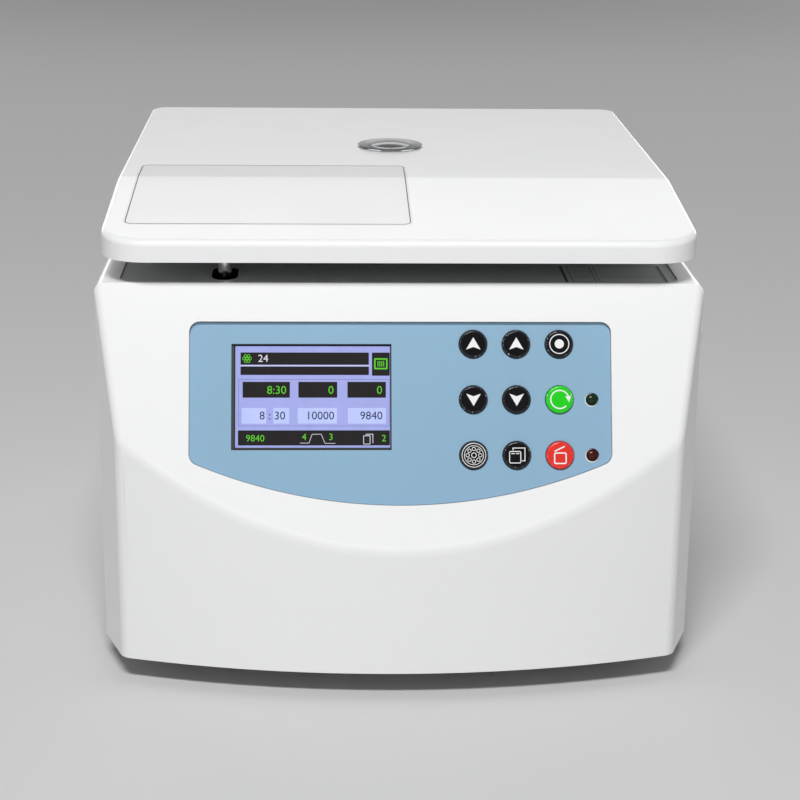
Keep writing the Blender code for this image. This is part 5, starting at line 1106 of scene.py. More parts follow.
def key_place(node):
    """The key's own axes, with the origin on its axis at the top of its crown."""
    low, high = panel_box(node)
    return PANEL @ Matrix.Translation(((low.x + high.x) / 2, (low.y + high.y) / 2, high.z))


def key_cap(node, place):
    """A flat-topped cap with a rolled rim, a straight side and a collar."""
    low, high = panel_box(node)
    collar = (high.x - low.x) / 2
    depth = high.z - low.z
    radius = collar - KEY_COLLAR
    collar_top = KEY_COLLAR_HEIGHT - depth
    profile = dome_points(radius - KEY_RIM, KEY_CROWN, 0)
    profile += bend((radius - KEY_RIM, -KEY_CROWN - KEY_RIM), KEY_RIM, 90, 0, 8)[1:]
    profile += [(radius, collar_top), (collar, collar_top), (collar, -depth), (0, -depth)]
    shape = turned(profile, steps=SMALL_STEPS)
    # Marks the rolled rim, where chipped print and painted glints go
    wear_and_glint_layer = shape.verts.layers.float.new(RIM_WEAR_AND_GLINT)
    for vert in shape.verts:
        vert[wear_and_glint_layer] = 1.0 if vert.co.xy.length > radius - KEY_RIM * WORN_AND_GLINTING_RIM_SHARE else 0.0
    shape.transform(place)
    return shape


def arrow_icon(turn):
    """A pointer with a notched foot, up for 1 and down for -1."""
    points = [(0, ARROW_TIP), (-ARROW_HALF, -ARROW_FOOT), (0, -ARROW_NOTCH), (ARROW_HALF, -ARROW_FOOT)]
    return [[[(x, y * turn) for x, y in points]]]


def dot_icon():
    return [ring(0, 0, DOT_RING_RADIUS, DOT_RING_LINE), [circle(0, 0, DOT_RADIUS)]]


def circling_icon():
    """An arc, open at its lower right, that ends in an arrowhead at its right."""
    arc = bend((0, 0), CIRCLING_RADIUS, CIRCLING_START, CIRCLING_END, CIRCLING_STEPS)
    arrow = [(CIRCLING_RADIUS + CIRCLING_HEAD * out, CIRCLING_DROP * up)
             for out, up in CIRCLING_HEAD_SHARES]
    return [[stroke(arc, ICON_LINE)], [arrow]]


def rotor_icon():
    """The rotor seen from above, with its tube places in a ring."""
    shapes = [ring(0, 0, radius, line) for radius, line in ROTOR_ICON_RINGS]
    for i in range(ROTOR_ICON_COUNT):
        angle = math.tau * i / ROTOR_ICON_COUNT
        x, y = ROTOR_ICON_SPOKE * math.cos(angle), ROTOR_ICON_SPOKE * math.sin(angle)
        shapes.append(ring(x, y, ROTOR_ICON_PLACE, ROTOR_ICON_LINE, MARK_STEPS))
    return shapes


def pages_icon():
    """Two cards, one behind the other."""
    front = box_line(PAGE_LOW, PAGE_HIGH, PAGE_CORNER, PAGE_LINE)
    bars = [[stroke([(left, PAGE_BAR_HEIGHT), (right, PAGE_BAR_HEIGHT)], PAGE_LINE)]
            for left, right in PAGE_BARS]
    back = [(BEHIND_LEFT, BEHIND_START), (BEHIND_LEFT, BEHIND_TOP), (BEHIND_RIGHT, BEHIND_TOP),
            (BEHIND_RIGHT, BEHIND_LOW), (BEHIND_END, BEHIND_LOW)]
    return [front] + bars + [[stroke(back, PAGE_LINE)]]


def open_box_icon():
    """A box with its lid tilted open."""
    box = box_line(OPEN_BOX_LOW, OPEN_BOX_HIGH, OPEN_BOX_CORNER, ICON_LINE)
    return [box, [stroke(OPEN_BOX_LID, ICON_LINE)]]


KEY_ICONS = {
    "key_speed_up": arrow_icon(1),
    "key_time_up": arrow_icon(1),
    "key_store": dot_icon(),
    "key_speed_down": arrow_icon(-1),
    "key_time_down": arrow_icon(-1),
    "key_start": circling_icon(),
    "key_rotor": rotor_icon(),
    "key_program": pages_icon(),
    "key_stop_open": open_box_icon(),
}


def make_keys():
    for node, shapes in KEY_ICONS.items():
        place = key_place(node)
        slot = SLOT_OF[node]
        cap = add_piece(key_cap(node, place), node + "_cap", FINISH[slot], node, [node])
        icon = bmesh.new()
        for loops in shapes:
            add_flat(icon, loops, place)
        settle(icon, surface_of(cap), PRESS)
        add_piece(icon, node + "_icon", ICON_WHITE, node)


BEZEL_FOOT = 0.03 * MM
BEZEL_SHIFT = Matrix.Translation((-0.17 * MM, -0.17 * MM, 0))
BEZEL_IN, BEZEL_CREST, BEZEL_OUT = -0.3 * MM, 0.1 * MM, 0.18 * MM
BEZEL_INNER_RISE, BEZEL_CREST_RISE = 0.02 * MM, 0.05 * MM


def make_lamps():
    """Signal lenses, each in a thin pale bezel that stands a little off its middle."""
    face = panel_box("panel_face")[1].z + BEZEL_FOOT
    for node in LAMP_NODES:
        low, high = panel_box(node)
        place = PANEL @ Matrix.Translation(((low.x + high.x) / 2, (low.y + high.y) / 2, face))
        radius = (high.x - low.x) / 2
        crown = high.z - face
        back = low.z - face
        lens = dome_points(radius, crown, crown) + [(radius, back), (0, back)]
        slot = SLOT_OF[node]
        add_piece(turned(lens, place, SMALL_STEPS), node + "_lens", FINISH[slot], "housing", [node])
        bezel = [(radius + BEZEL_IN, 0), (radius + BEZEL_IN, BEZEL_INNER_RISE),
                 (radius + BEZEL_CREST, BEZEL_CREST_RISE), (radius + BEZEL_OUT, 0), (radius + BEZEL_IN, 0)]
        add_piece(turned(bezel, place @ BEZEL_SHIFT, SMALL_STEPS), node + "_bezel",
                  FINISH["white_plastic"], "housing")


# Display: places are shares of the lit field, from its upper left corner

LIT_LEFT_SHARE, LIT_RIGHT_SHARE = 0.003, 0.997
LIT_TOP_SHARE, LIT_BOTTOM_SHARE = 0.003, 0.99
TITLE_SHARES = ((0.033, 0.062, 0.863, 0.183), (0.033, 0.201, 0.863, 0.284), (0.883, 0.062, 0.998, 0.291))
VALUE_SHARES = ((0.047, 0.352, 0.352, 0.508), (0.407, 0.352, 0.658, 0.508), (0.724, 0.352, 0.973, 0.508))
SET_SHARES = ((0.041, 0.609, 0.200, 0.764), (0.245, 0.609, 0.348, 0.764),
              (0.403, 0.609, 0.656, 0.764), (0.726, 0.609, 0.973, 0.764))
FOOT_SHARES = (0.018, 0.830, 0.998, 0.978)
GROUP_SHARES = (0.020, 0.325, 0.998, 0.789)
ROTOR_MARK_SHARES = (0.075, 0.122)
CARD_SHARES = (0.897, 0.118, 0.984, 0.228)
RAMP_SHARES = ((0.418, 0.955), (0.476, 0.955), (0.496, 0.868),
               (0.555, 0.868), (0.579, 0.958), (0.646, 0.958))
PAGE_SHARES = (0.826, 0.880, 0.872, 0.968)
PAGE_BEHIND_SHARES = ((0.842, 0.868), (0.888, 0.868), (0.888, 0.955))
RULE_SHARES = ((0.033, 0.192), (0.863, 0.192))
DIGIT = 3.9 * MM
SMALL_DIGIT = 3.2 * MM
TITLE_DIGIT = 3.6 * MM
SCREEN_CORNER = 0.25 * MM
SCREEN_STROKE = 0.3 * MM
GROUP_LINE = 0.24 * MM
GROUP_CORNER = 0.375 * MM
RAMP_LINE = 0.225 * MM
ROTOR_MARK_SPOKE = 1.45 * MM
ROTOR_MARK_PLACE = 0.62 * MM
ROTOR_MARK_HUB = 0.558 * MM
ROTOR_MARK_COUNT = 6
CARD_LINE = 0.7 * MM
CARD_CORNER = 0.49 * MM
CARD_BAR = 0.45 * MM
CARD_BAR_INSET = 1.3 * MM
CARD_BAR_SHARES = (0.29, 0.43, 0.57, 0.71)
VALUE_LINE_SHARE, SET_LINE_SHARE = 0.470, 0.722
FOOT_LINE_SHARE, RAMP_NUMBER_SHARE = 0.938, 0.925
TITLE_PLACE_SHARES = (0.145, 0.155)


def make_display():
    low, high = panel_box("display_glass")
    width = high.x - low.x
    height = high.y - low.y
    lit_left = low.x + width * LIT_LEFT_SHARE
    lit_width = width * (LIT_RIGHT_SHARE - LIT_LEFT_SHARE)
    lit_top = high.y - height * LIT_TOP_SHARE
    lit_height = height * (LIT_BOTTOM_SHARE - LIT_TOP_SHARE)

    def at(u, v):
        return lit_left + lit_width * u, lit_top - lit_height * v

    def corners(shares):
        left, top = at(shares[0], shares[1])
        right, bottom = at(shares[2], shares[3])
        return (left, bottom), (right, top)

    def bar(shares):
        return [box_outline(*corners(shares), SCREEN_CORNER, steps=3)]

    def layer(name, loops_list, texts, material, level):
        """One printed layer of the picture, all in one material."""
        shape = bmesh.new()
        place = PANEL @ Matrix.Translation((0, 0, high.z + PRINT_LIFT + level * PRINT))
        for loops in loops_list:
            add_flat(shape, loops, place)
        for text, size, u, v, align in texts:
            text_shape(shape, text, size, *at(u, v), place, align)
        thicken(shape, OUT * PRINT / 2)
        add_piece(shape, name, material, "housing")

    layer("display_field", [bar((0, 0, 1, 1))], [], FINISH["display_face"], 0)
    layer("display_bars", [bar(shares) for shares in TITLE_SHARES + VALUE_SHARES + (FOOT_SHARES,)], [],
          SCREEN_DARK, 1)
    layer("display_settings", [bar(shares) for shares in SET_SHARES], [], SCREEN_PALE, 1)
    group = box_line(*corners(GROUP_SHARES), GROUP_CORNER, GROUP_LINE)
    layer("display_frame_line", [group], [], SCREEN_LINE, 1)

    rotor_x, rotor_y = at(*ROTOR_MARK_SHARES)
    symbol = [ring(rotor_x, rotor_y, ROTOR_MARK_HUB, SCREEN_STROKE, HUB_STEPS)]
    for i in range(ROTOR_MARK_COUNT):
        angle = math.tau * i / ROTOR_MARK_COUNT
        x = rotor_x + ROTOR_MARK_SPOKE * math.cos(angle)
        y = rotor_y + ROTOR_MARK_SPOKE * math.sin(angle)
        symbol.append(ring(x, y, ROTOR_MARK_PLACE, SCREEN_STROKE, MARK_STEPS))
    card_low, card_high = corners(CARD_SHARES)
    symbol.append(box_line(card_low, card_high, CARD_CORNER, CARD_LINE))
    for share in CARD_BAR_SHARES:
        x = card_low[0] + (card_high[0] - card_low[0]) * share
        ends = [(x, card_low[1] + CARD_BAR_INSET), (x, card_high[1] - CARD_BAR_INSET)]
        symbol.append([stroke(ends, CARD_BAR)])
    green = [("8:30", DIGIT, 0.330, VALUE_LINE_SHARE, "RIGHT"),
             ("0", DIGIT, 0.636, VALUE_LINE_SHARE, "RIGHT"), ("0", DIGIT, 0.950, VALUE_LINE_SHARE, "RIGHT"),
             ("9840", SMALL_DIGIT, 0.068, FOOT_LINE_SHARE, "LEFT"),
             ("4", SMALL_DIGIT, 0.430, RAMP_NUMBER_SHARE, "LEFT"),
             ("3", SMALL_DIGIT, 0.602, RAMP_NUMBER_SHARE, "LEFT"),
             ("2", SMALL_DIGIT, 0.975, FOOT_LINE_SHARE, "RIGHT")]
    layer("display_green", symbol, green, SCREEN_GREEN, 2)
    ink = [("8", DIGIT, 0.192, SET_LINE_SHARE, "RIGHT"), (":", DIGIT, 0.231, SET_LINE_SHARE, "RIGHT"),
           ("30", DIGIT, 0.250, SET_LINE_SHARE, "LEFT"), ("10000", DIGIT, 0.640, SET_LINE_SHARE, "RIGHT"),
           ("9840", DIGIT, 0.952, SET_LINE_SHARE, "RIGHT")]
    layer("display_ink", [], ink, SCREEN_INK, 2)
    white = [[stroke([at(*share) for share in RAMP_SHARES], RAMP_LINE)],
             box_line(*corners(PAGE_SHARES), SCREEN_STROKE, SCREEN_STROKE),
             [stroke([at(*share) for share in PAGE_BEHIND_SHARES], SCREEN_STROKE)],
             [stroke([at(*share) for share in RULE_SHARES], SCREEN_STROKE)]]
    layer("display_white", white, [("24", TITLE_DIGIT, *TITLE_PLACE_SHARES, "LEFT")], SCREEN_WHITE, 2)


# Labels, left without words

LID_LABEL_LEFT, LID_LABEL_RIGHT = -131 * MM, 6.3 * MM
LID_LABEL_FRONT, LID_LABEL_BACK = 14.5 * MM, 123 * MM
LID_LABEL_CORNER = 5 * MM
LID_LABEL_INSET = 1.0 * MM
LID_LABEL_LINE = 0.5 * MM
DECK_LABEL_LEFT, DECK_LABEL_RIGHT = 77.6 * MM, 129 * MM
DECK_LABEL_FRONT, DECK_LABEL_BACK = 3.6 * MM, 40 * MM
DECK_LABEL_CORNER = 3 * MM
DECK_BAR = 1.3 * MM
DECK_LINE = 0.3 * MM
DECK_BOX_SHARES = ((0.08, 0.30), (0.33, 0.93))
CREASE_SHARES = (-1, -0.5, 0, 0.5, 1)
FRAME_LIFT = 0.065 * MM


def lay_label(name, loops_list, surface, body, material, lift, creases=()):
    """A film or a printed frame laid on a shell, bent where the shell has its crease."""
    shape = bmesh.new()
    for loops in loops_list:
        add_flat(shape, loops, Matrix.Translation((0, 0, LID_HIGH.z)))
    for crease in creases:
        bmesh.ops.bisect_plane(shape, geom=shape.verts[:] + shape.edges[:] + shape.faces[:],
                               plane_co=(0, crease, 0), plane_no=(0, 1, 0), dist=WELD)
    settle(shape, surface, DOWN, lift)
    add_piece(shape, name, material, body)


def make_lid_label(lid):
    front = PARTING_Y + LID_LABEL_FRONT
    back = PARTING_Y + LID_LABEL_BACK
    creases = [LID_CREASE_Y + LID_CREASE_REACH * share for share in CREASE_SHARES]
    low, high = (LID_LABEL_LEFT, front), (LID_LABEL_RIGHT, back)
    lay_label("lid_label", [[box_outline(low, high, LID_LABEL_CORNER)]], lid, "lid",
              LABEL_FILM, PRINT_LIFT, creases)
    low = (low[0] + LID_LABEL_INSET, low[1] + LID_LABEL_INSET)
    high = (high[0] - LID_LABEL_INSET, high[1] - LID_LABEL_INSET)
    frame_line = box_line(low, high, LID_LABEL_CORNER - LID_LABEL_INSET, LID_LABEL_LINE)
    lay_label("lid_label_frame", [frame_line], lid, "lid", INK_BLACK, FRAME_LIFT, creases)


def make_deck_label(deck):
    low = (DECK_LABEL_LEFT, PARTING_Y + DECK_LABEL_FRONT)
    high = (DECK_LABEL_RIGHT, PARTING_Y + DECK_LABEL_BACK)
    lay_label("deck_label", [[box_outline(low, high, DECK_LABEL_CORNER)]], deck, "housing",
              PLATE_FILM, PRINT_LIFT)
    front, back = low[1] + DECK_LABEL_CORNER, high[1] - DECK_LABEL_CORNER
    marks = []
    for x in (low[0] + DECK_BAR, high[0] - DECK_BAR * 2):
        marks.append([stroke([(x, low[1] + DECK_LINE), (x, high[1] - DECK_LABEL_CORNER)], DECK_BAR)])
    for left_share, right_share in DECK_BOX_SHARES:
        left = low[0] + (high[0] - low[0]) * left_share
        right = low[0] + (high[0] - low[0]) * right_share
        marks.append(box_line((left, front - DECK_BAR), (right, back), DECK_BAR, DECK_LINE))
        y = (front + back) / 2 - DECK_LABEL_CORNER * 2
        marks.append([stroke([(left + DECK_BAR, y), (right - DECK_BAR, y)], DECK_LINE)])
    lay_label("deck_label_frame", marks, deck, "housing", INK_BLACK, FRAME_LIFT)


# Rotor, its cover and the fluted knob

ROTOR_FACE_DROP = 26 * MM
ROTOR_SLOT_COUNT = 24
ROTOR_SLOT_START = 19 * MM
ROTOR_SLOT_END = 88.25 * MM
ROTOR_SLOT_WIDTH = 2.6 * MM
ROTOR_SLOT_DEPTH = 3 * MM
ROTOR_SOFT_EDGE = 0.4 * MM
ROTOR_NUMBER = 3.4 * MM
ROTOR_NUMBER_RADIUS = 79 * MM
KNOB_EDGE = 2 * MM
KNOB_BORE = 5.3 * MM
KNOB_BORE_DEPTH = 10 * MM
KNOB_SKIRT = 3 * MM
KNOB_FLUTE_COUNT = 8
KNOB_FLUTE_RADIUS = 4 * MM
KNOB_FLUTE_BITE = 2.2 * MM
KNOB_SOFT_EDGE = 0.35 * MM


def make_rotor_disc():
    """The disc with its tube slots, numbered from one."""
    face = DECK_Z - ROTOR_FACE_DROP
    pitch = math.tau / ROTOR_SLOT_COUNT
    beside = Matrix.Rotation(pitch / 2, 4, "Z")
    quarter_turn = Matrix.Rotation(math.pi / 2, 4, "Z")
    outward = Matrix.Translation((ROTOR_NUMBER_RADIUS, 0, face + PRINT_LIFT)) @ quarter_turn
    slots = []
    numbers = bmesh.new()
    for i in range(ROTOR_SLOT_COUNT):
        turn = Matrix.Translation((0, ROTOR_Y, 0)) @ Matrix.Rotation(pitch * (i + 0.5), 4, "Z")
        slot = block((ROTOR_SLOT_START, -ROTOR_SLOT_WIDTH / 2, face - ROTOR_SLOT_DEPTH),
                     (ROTOR_SLOT_END, ROTOR_SLOT_WIDTH / 2, face + OVERRUN))
        slot.transform(turn)
        slots.append(slot)
        text_shape(numbers, str(i + 1), ROTOR_NUMBER, 0, 0, turn @ beside @ outward, "CENTER")
    thicken(numbers, UP * PRINT)
    add_piece(numbers, "rotor_numbers", INK_BLACK, "rotor")
    dress(combined(spun_node("rotor_disc", ROTOR_SOFT_EDGE), (CUT, gathered(slots))), "rotor_disc")


def make_knob():
    low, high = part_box("rotor_knob")
    middle = middle_of("rotor_knob")
    radius = (high.x - low.x) / 2
    top = high.z - low.z
    profile = [(0, top)] + bend((radius - KNOB_EDGE, top - KNOB_EDGE), KNOB_EDGE, 90, 0, 8)
    profile += [(radius, 0), (KNOB_BORE, 0), (KNOB_BORE, KNOB_BORE_DEPTH), (0, KNOB_BORE_DEPTH)]
    flutes = []
    reach = radius + KNOB_FLUTE_RADIUS - KNOB_FLUTE_BITE
    for i in range(KNOB_FLUTE_COUNT):
        angle = math.tau * i / KNOB_FLUTE_COUNT
        x, y = reach * math.cos(angle), reach * math.sin(angle)
        flutes.append(rod(KNOB_FLUTE_RADIUS, (x, y, KNOB_SKIRT), (x, y, top + OVERRUN)))
    shape = combined(turned(profile), (CUT, gathered(flutes)))
    soften(shape, sharp_edges(shape), KNOB_SOFT_EDGE, 2)
    shape.transform(Matrix.Translation((middle.x, ROTOR_Y, low.z)))
    dress(shape, "rotor_knob")


# Small parts on the side and rear

ROCKER_MARK = 3.0 * MM
ROCKER_LINE = 0.6 * MM
REAR_SOFT_EDGE = 0.3 * MM
PLUG_SOFT_SHARE = 0.6
PRONG_PITCH = 7 * MM
PRONG_RAISE = 2 * MM
PRONG_WIDTH = 2 * MM
PRONG_HEIGHT = 4 * MM
PRONG_LENGTH = 11.5 * MM
PRONG_SLEEVE = 0.06 * MM
PRONG_POINT = 0.7 * MM
SOCKET_DEPTH = 17.5 * MM
SOCKET_RISE = 9.5 * MM
SCREW_RADIUS = 1.9 * MM
SCREW_RISE = 1.1 * MM
SCREW_CROSS = 0.45 * MM
SCREW_CROSS_REACH = 1.14 * MM
SCREW_CROSS_FLOOR = 0.44 * MM
SCREW_CROWN = 0.77 * MM
SCREW_STEPS = 24
BASE_SCREW_X = 124 * MM
BASE_SCREW_Y = (-100 * MM, 20 * MM, 125 * MM)
REAR_SCREW_X = 118 * MM
REAR_SCREW_Z = 19 * MM
HINGE_SCREW_X = 11 * MM
LEAF_SCREW_X = 15 * MM
BRACKET_SCREW_INSET = 2.66 * MM
LEAF_SCREW_INSET = 5.7 * MM
BRACKET_THICKNESS = 1.5 * MM
LEAF_THICKNESS = 2 * MM


def make_release_plug():
    """The snap-in cover over the emergency release."""
    low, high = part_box("release_plug")
    middle = middle_of("release_plug")
    radius = (high.z - low.z) / 2
    place = Matrix.Translation((high.x, middle.y, middle.z)) @ Matrix.Rotation(math.pi / 2, 4, "Y")
    proud = high.x - CASING_HIGH.x
    soft = proud * PLUG_SOFT_SHARE
    depth = high.x - low.x
    profile = [(0, 0)] + bend((radius - soft, -soft), soft, 90, 0, 8)
    profile += [(radius, SEAT - proud), (PLUG_STEM_RADIUS, SEAT - proud)]
    profile += [(PLUG_STEM_RADIUS, -depth), (0, -depth)]
    add_piece(turned(profile, place, SMALL_STEPS), "release_plug_cap", FINISH["white_plastic"],
              "release_plug", ["release_plug"])


def make_rocker():
    """The mains rocker with a line on its pressed half and a ring on the other."""
    rocker = dress(softened_node("power_rocker", REAR_SOFT_EDGE, 3), "power_rocker")
    low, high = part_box("power_rocker")
    middle = middle_of("power_rocker")
    quarter = (high.z - low.z) / 4
    marks = bmesh.new()
    line = box_outline((-ROCKER_LINE / 2, middle.z + quarter - ROCKER_MARK / 2),
                       (ROCKER_LINE / 2, middle.z + quarter + ROCKER_MARK / 2))
    place = REAR_WALL @ Matrix.Translation((-middle.x, 0, REACH / 2))
    add_flat(marks, [line], place)
    add_flat(marks, ring(0, middle.z - quarter, ROCKER_MARK / 2, ROCKER_LINE), place)
    settle(marks, surface_of(rocker), FORWARD)
    add_piece(marks, "rocker_marks", ICON_WHITE, "power_rocker")


def make_inlet():
    """The mains inlet with plated sleeves on its three prongs."""
    dress(softened_node("mains_inlet", REAR_SOFT_EDGE, 3), "mains_inlet")
    middle = middle_of("mains_inlet")
    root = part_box("mains_inlet")[1].y - SOCKET_DEPTH
    half_width = PRONG_WIDTH / 2 + PRONG_SLEEVE
    half_height = PRONG_HEIGHT / 2 + PRONG_SLEEVE
    sleeves = []
    for column, rise in ((-1, -1), (0, 1), (1, -1)):
        x = middle.x + column * PRONG_PITCH
        z = middle.z + SOCKET_RISE + rise * PRONG_RAISE
        sleeve = block((x - half_width, root + PRONG_SLEEVE, z - half_height),
                       (x + half_width, root + PRONG_LENGTH + PRONG_SLEEVE + PRONG_POINT, z + half_height))
        tip = [edge for edge in sleeve.edges
               if all(vert.co.y > root + PRONG_LENGTH for vert in edge.verts)]
        soften(sleeve, tip, PRONG_POINT, 3)
        sleeves.append(sleeve)
    prongs = add_piece(gathered(sleeves), "inlet_prongs", FINISH["bright_steel"], "housing")
    weigh_normals(prongs)


def screw_head():
    """A pan head with a cross recess, standing on its own seat."""
    profile = dome_points(SCREW_RADIUS, SCREW_CROWN, SCREW_RISE) + [(SCREW_RADIUS, 0), (0, 0)]
    half = SCREW_CROSS / 2
    top = SCREW_RISE + OVERRUN
    arms = [block((-x, -y, SCREW_CROSS_FLOOR), (x, y, top))
            for x, y in ((SCREW_CROSS_REACH, half), (half, SCREW_CROSS_REACH))]
    return combined(turned(profile, steps=SCREW_STEPS), (CUT, arms[0]), (CUT, arms[1]))


def make_screws():
    """Screws in the base pan, the casing's rear wall and the hinges."""
    pan_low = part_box("base_pan")[0]
    down = Matrix.Rotation(math.pi, 4, "X")
    rearward = Matrix.Rotation(-math.pi / 2, 4, "X")
    groups = {"base_screws": ("housing", []), "rear_screws": ("housing", []),
              "bracket_screws": ("housing", []), "leaf_screws": ("lid", [])}
    for sign in (-1, 1):
        for y in BASE_SCREW_Y:
            groups["base_screws"][1].append(Matrix.Translation((sign * BASE_SCREW_X, y, pan_low.z)) @ down)
        rear = Matrix.Translation((sign * REAR_SCREW_X, REAR_Y, REAR_SCREW_Z)) @ rearward
        groups["rear_screws"][1].append(rear)
    for side in ("left", "right"):
        bracket_low, bracket_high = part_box("hinge_bracket_" + side)
        leaf_low, leaf_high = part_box("hinge_leaf_" + side)
        middle = (bracket_low + bracket_high) / 2
        for sign in (-1, 1):
            seat = (middle.x + sign * HINGE_SCREW_X, bracket_low.y + BRACKET_SCREW_INSET,
                    bracket_low.z + BRACKET_THICKNESS)
            groups["bracket_screws"][1].append(Matrix.Translation(seat))
            seat = (middle.x + sign * LEAF_SCREW_X, leaf_low.y + LEAF_SCREW_INSET,
                    leaf_high.z - LEAF_THICKNESS)
            groups["leaf_screws"][1].append(Matrix.Translation(seat) @ down)
    for name, (body, places) in groups.items():
        heads = []
        for place in places:
            head = screw_head()
            head.transform(place)
            heads.append(head)
        add_piece(gathered(heads), name, FINISH["bright_steel"], body)


make_casing()
make_cover()
make_panel_face()
make_deck_label(surface_of(make_deck()))
make_lid_label(surface_of(make_lid()))
make_liner()
make_sight_glass()
make_keys()
make_lamps()
make_display()
make_rotor_disc()
make_knob()
make_release_plug()
make_rocker()
make_inlet()
make_screws()

# Turned parts get many more steps, with a soft edge for each kind

RUBBER_EDGE = 0.6 * MM
GASKET_EDGE = 0.5 * MM
BOWL_EDGE = 0.25 * MM
ROTOR_COVER_EDGE = 0.35 * MM
SIGHT_TUBE_EDGE = 0.2 * MM
BOOT_EDGE = 0.3 * MM
LOCK_PIN_EDGE = 0.15 * MM
SPUN_NODES = {
    "chamber_bowl": BOWL_EDGE, "chamber_gasket": GASKET_EDGE, "rotor_ring": GASKET_EDGE,
    "rotor_cover": ROTOR_COVER_EDGE, "lid_disc": 0.0, "sight_tube": SIGHT_TUBE_EDGE,
    "shaft_boot": BOOT_EDGE, "lock_pin": LOCK_PIN_EDGE,
    "foot_front_left": RUBBER_EDGE, "foot_front_right": RUBBER_EDGE,
    "foot_rear_left": RUBBER_EDGE, "foot_rear_right": RUBBER_EDGE,
    "motor_damper_1": RUBBER_EDGE, "motor_damper_2": RUBBER_EDGE, "motor_damper_3": RUBBER_EDGE,
}
SPUN_FINISH = {"chamber_bowl": SPUN_STEEL, "lid_disc": SPUN_STEEL}
for node, radius in SPUN_NODES.items():
    dress(spun_node(node, radius), node, SPUN_FINISH.get(node))

# Every other node keeps its CAD shape, with softened edges where they show

PLAIN_NODES = ("display_glass",)
NODE_FINISH = {"lock_housing": MATT_BLACK}
SHOWN_ALREADY = {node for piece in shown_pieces() for node in piece.get("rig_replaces", [])}
LEAF_EDGE = 0.25 * MM
BRACKET_EDGE = 0.2 * MM
DRAWER_EDGE = 0.25 * MM
SWITCH_FRAME_EDGE = 0.35 * MM
DISPLAY_FRAME_EDGE = 0.1 * MM
BOX_EDGE = 0.3 * MM
SOFT_EDGE = {
    "hinge_leaf_left": LEAF_EDGE, "hinge_leaf_right": LEAF_EDGE, "lock_latch": LEAF_EDGE,
    "hinge_bracket_left": BRACKET_EDGE, "hinge_bracket_right": BRACKET_EDGE,
    "fuse_drawer": DRAWER_EDGE, "switch_frame": SWITCH_FRAME_EDGE, "display_frame": DISPLAY_FRAME_EDGE,
    "lock_housing": BOX_EDGE, "power_supply": BOX_EDGE,
}

for node in sorted(NODES):
    if node in PLAIN_NODES:
        NODES[node].data.materials.clear()
        NODES[node].data.materials.append(FINISH["black_plastic"])
    elif node not in SHOWN_ALREADY:
        dress(softened_node(node, SOFT_EDGE.get(node, 0.0)), node, NODE_FINISH.get(node))


# Floor, lamps and camera

FLOOR_HALF = 12.0
FLOOR_TONE = (0.66, 0.66, 0.66)
AMBIENT = 0.16
BEHIND_TONE = 0.72


def make_floor():
    shape = bmesh.new()
    bmesh.ops.create_grid(shape, x_segments=1, y_segments=1, size=FLOOR_HALF)
    mesh = bpy.data.meshes.new("floor")
    shape.to_mesh(mesh)
    shape.free()
    floor = bpy.data.objects.new("floor", mesh)
    bpy.context.scene.collection.objects.link(floor)
    material = new_material("floor", FLOOR_TONE, 0.8)
    vary_color(material, noise(material, 3, 3), FLOOR_TONE, shade(FLOOR_TONE, 0.99))
    mesh.materials.append(material)


def make_world():
    """A pale room for what the camera, metal and glass see, and a plain level for the rest."""
    world = bpy.data.worlds.new("studio")
    bpy.context.scene.world = world
    world.use_nodes = True
    nodes = world.node_tree.nodes
    links = world.node_tree.links
    nodes.clear()
    path = nodes.new("ShaderNodeLightPath")
    camera_or_gloss = nodes.new("ShaderNodeMath")
    camera_or_gloss.operation = "MAXIMUM"
    seen = nodes.new("ShaderNodeMath")
    seen.operation = "MAXIMUM"
    strength = nodes.new("ShaderNodeMapRange")
    strength.inputs["To Min"].default_value = AMBIENT
    strength.inputs["To Max"].default_value = BEHIND_TONE
    background = nodes.new("ShaderNodeBackground")
    background.inputs["Color"].default_value = (1, 1, 1, 1)
    output = nodes.new("ShaderNodeOutputWorld")
    links.new(path.outputs["Is Camera Ray"], camera_or_gloss.inputs[0])
    links.new(path.outputs["Is Glossy Ray"], camera_or_gloss.inputs[1])
    links.new(camera_or_gloss.outputs[0], seen.inputs[0])
    links.new(path.outputs["Is Transmission Ray"], seen.inputs[1])
    links.new(seen.outputs[0], strength.inputs["Value"])
    links.new(strength.outputs["Result"], background.inputs["Strength"])
    links.new(background.outputs["Background"], output.inputs["Surface"])


def around(azimuth, elevation, distance, target):
    """A point round the target: azimuth 0 is in front of the panel, 90 to its right."""
    a, e = math.radians(azimuth), math.radians(elevation)
    step = Vector((math.sin(a) * math.cos(e), -math.cos(a) * math.cos(e), math.sin(e)))
    return Vector(target) + step * distance


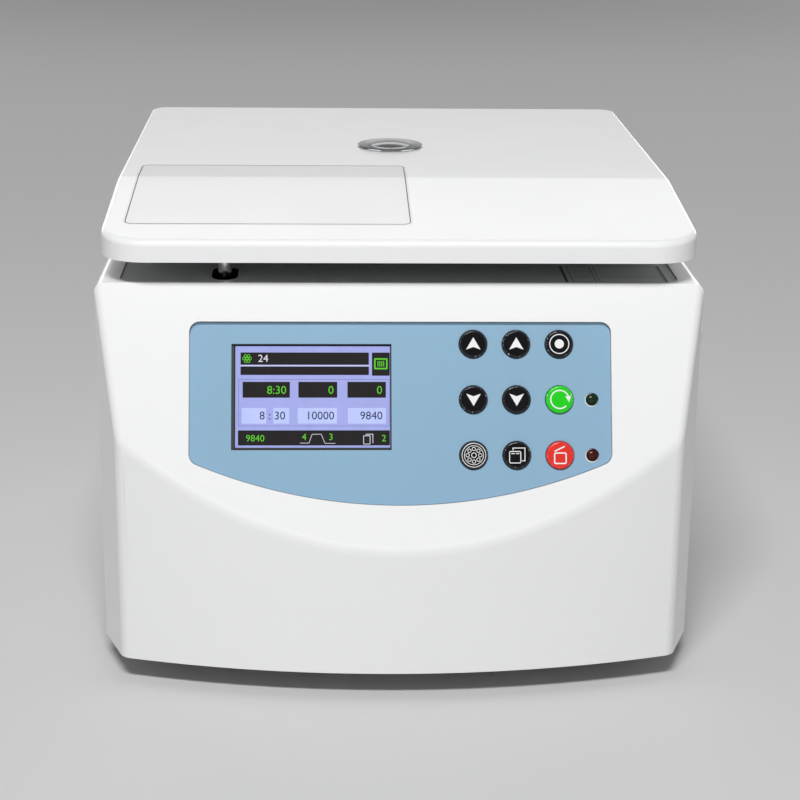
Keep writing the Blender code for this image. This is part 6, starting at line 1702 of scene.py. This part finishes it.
def add_lamp(name, azimuth, elevation, distance, size, level):
    """A soft rectangular lamp. At level 1 it shows a white surface that faces it as white."""
    data = bpy.data.lights.new(name, "AREA")
    data.shape = "RECTANGLE"
    data.size, data.size_y = size
    data.energy = level * math.pi ** 2 * distance ** 2
    lamp = bpy.data.objects.new(name, data)
    bpy.context.scene.collection.objects.link(lamp)
    target = Vector((0, 0, DECK_Z))
    lamp.location = around(azimuth, elevation, distance, target)
    lamp.rotation_euler = (target - lamp.location).to_track_quat("-Z", "Y").to_euler()
    lamp.visible_camera = False


# Azimuth and elevation in degrees, distance, width and height in metres, and level

LAMPS = {
    "key_lamp": (-8, 52, 2.2, (0.8, 0.25), 0.765),
    "front_lamp": (0, 8, 2.6, (2.0, 0.5), 0.105),
    "back_lamp": (180, 27, 2.4, (2.4, 0.4), 0.08),
    "rear_left_lamp": (206, 8, 6.0, (2.4, 1.2), 0.08),
    "rear_right_lamp": (154, 8, 6.0, (2.4, 1.2), 0.08),
}

CAMERA_LEFT = 34.0 * MM
CAMERA_BACK = 909.05 * MM
CAMERA_ABOVE = 231.0 * MM
CAMERA_PLACE = Vector((-CAMERA_LEFT, PARTING_Y - CAMERA_BACK, DECK_Z + CAMERA_ABOVE))
CAMERA_PITCH = math.radians(17.59)
CAMERA_YAW = math.radians(2.16)
CAMERA_ROLL = math.radians(-0.65)
CAMERA_LENS = 90


def make_camera():
    """The photograph's view: focal length 2.5 times the picture's width."""
    forward = Vector((math.sin(CAMERA_YAW) * math.cos(CAMERA_PITCH),
                      math.cos(CAMERA_YAW) * math.cos(CAMERA_PITCH), -math.sin(CAMERA_PITCH)))
    level = Vector((math.cos(CAMERA_YAW), -math.sin(CAMERA_YAW), 0))
    below = forward.cross(level)
    right = math.cos(CAMERA_ROLL) * level + math.sin(CAMERA_ROLL) * below
    down = -math.sin(CAMERA_ROLL) * level + math.cos(CAMERA_ROLL) * below
    data = bpy.data.cameras.new("camera")
    data.lens = CAMERA_LENS
    camera = bpy.data.objects.new("camera", data)
    bpy.context.scene.collection.objects.link(camera)
    axes = Matrix((right, -down, -forward)).transposed().to_4x4()
    camera.matrix_world = Matrix.Translation(CAMERA_PLACE) @ axes
    bpy.context.scene.camera = camera


make_floor()
make_world()
for lamp_name, setting in LAMPS.items():
    add_lamp(lamp_name, *setting)
make_camera()
bpy.context.scene.view_settings.view_transform = "Standard"
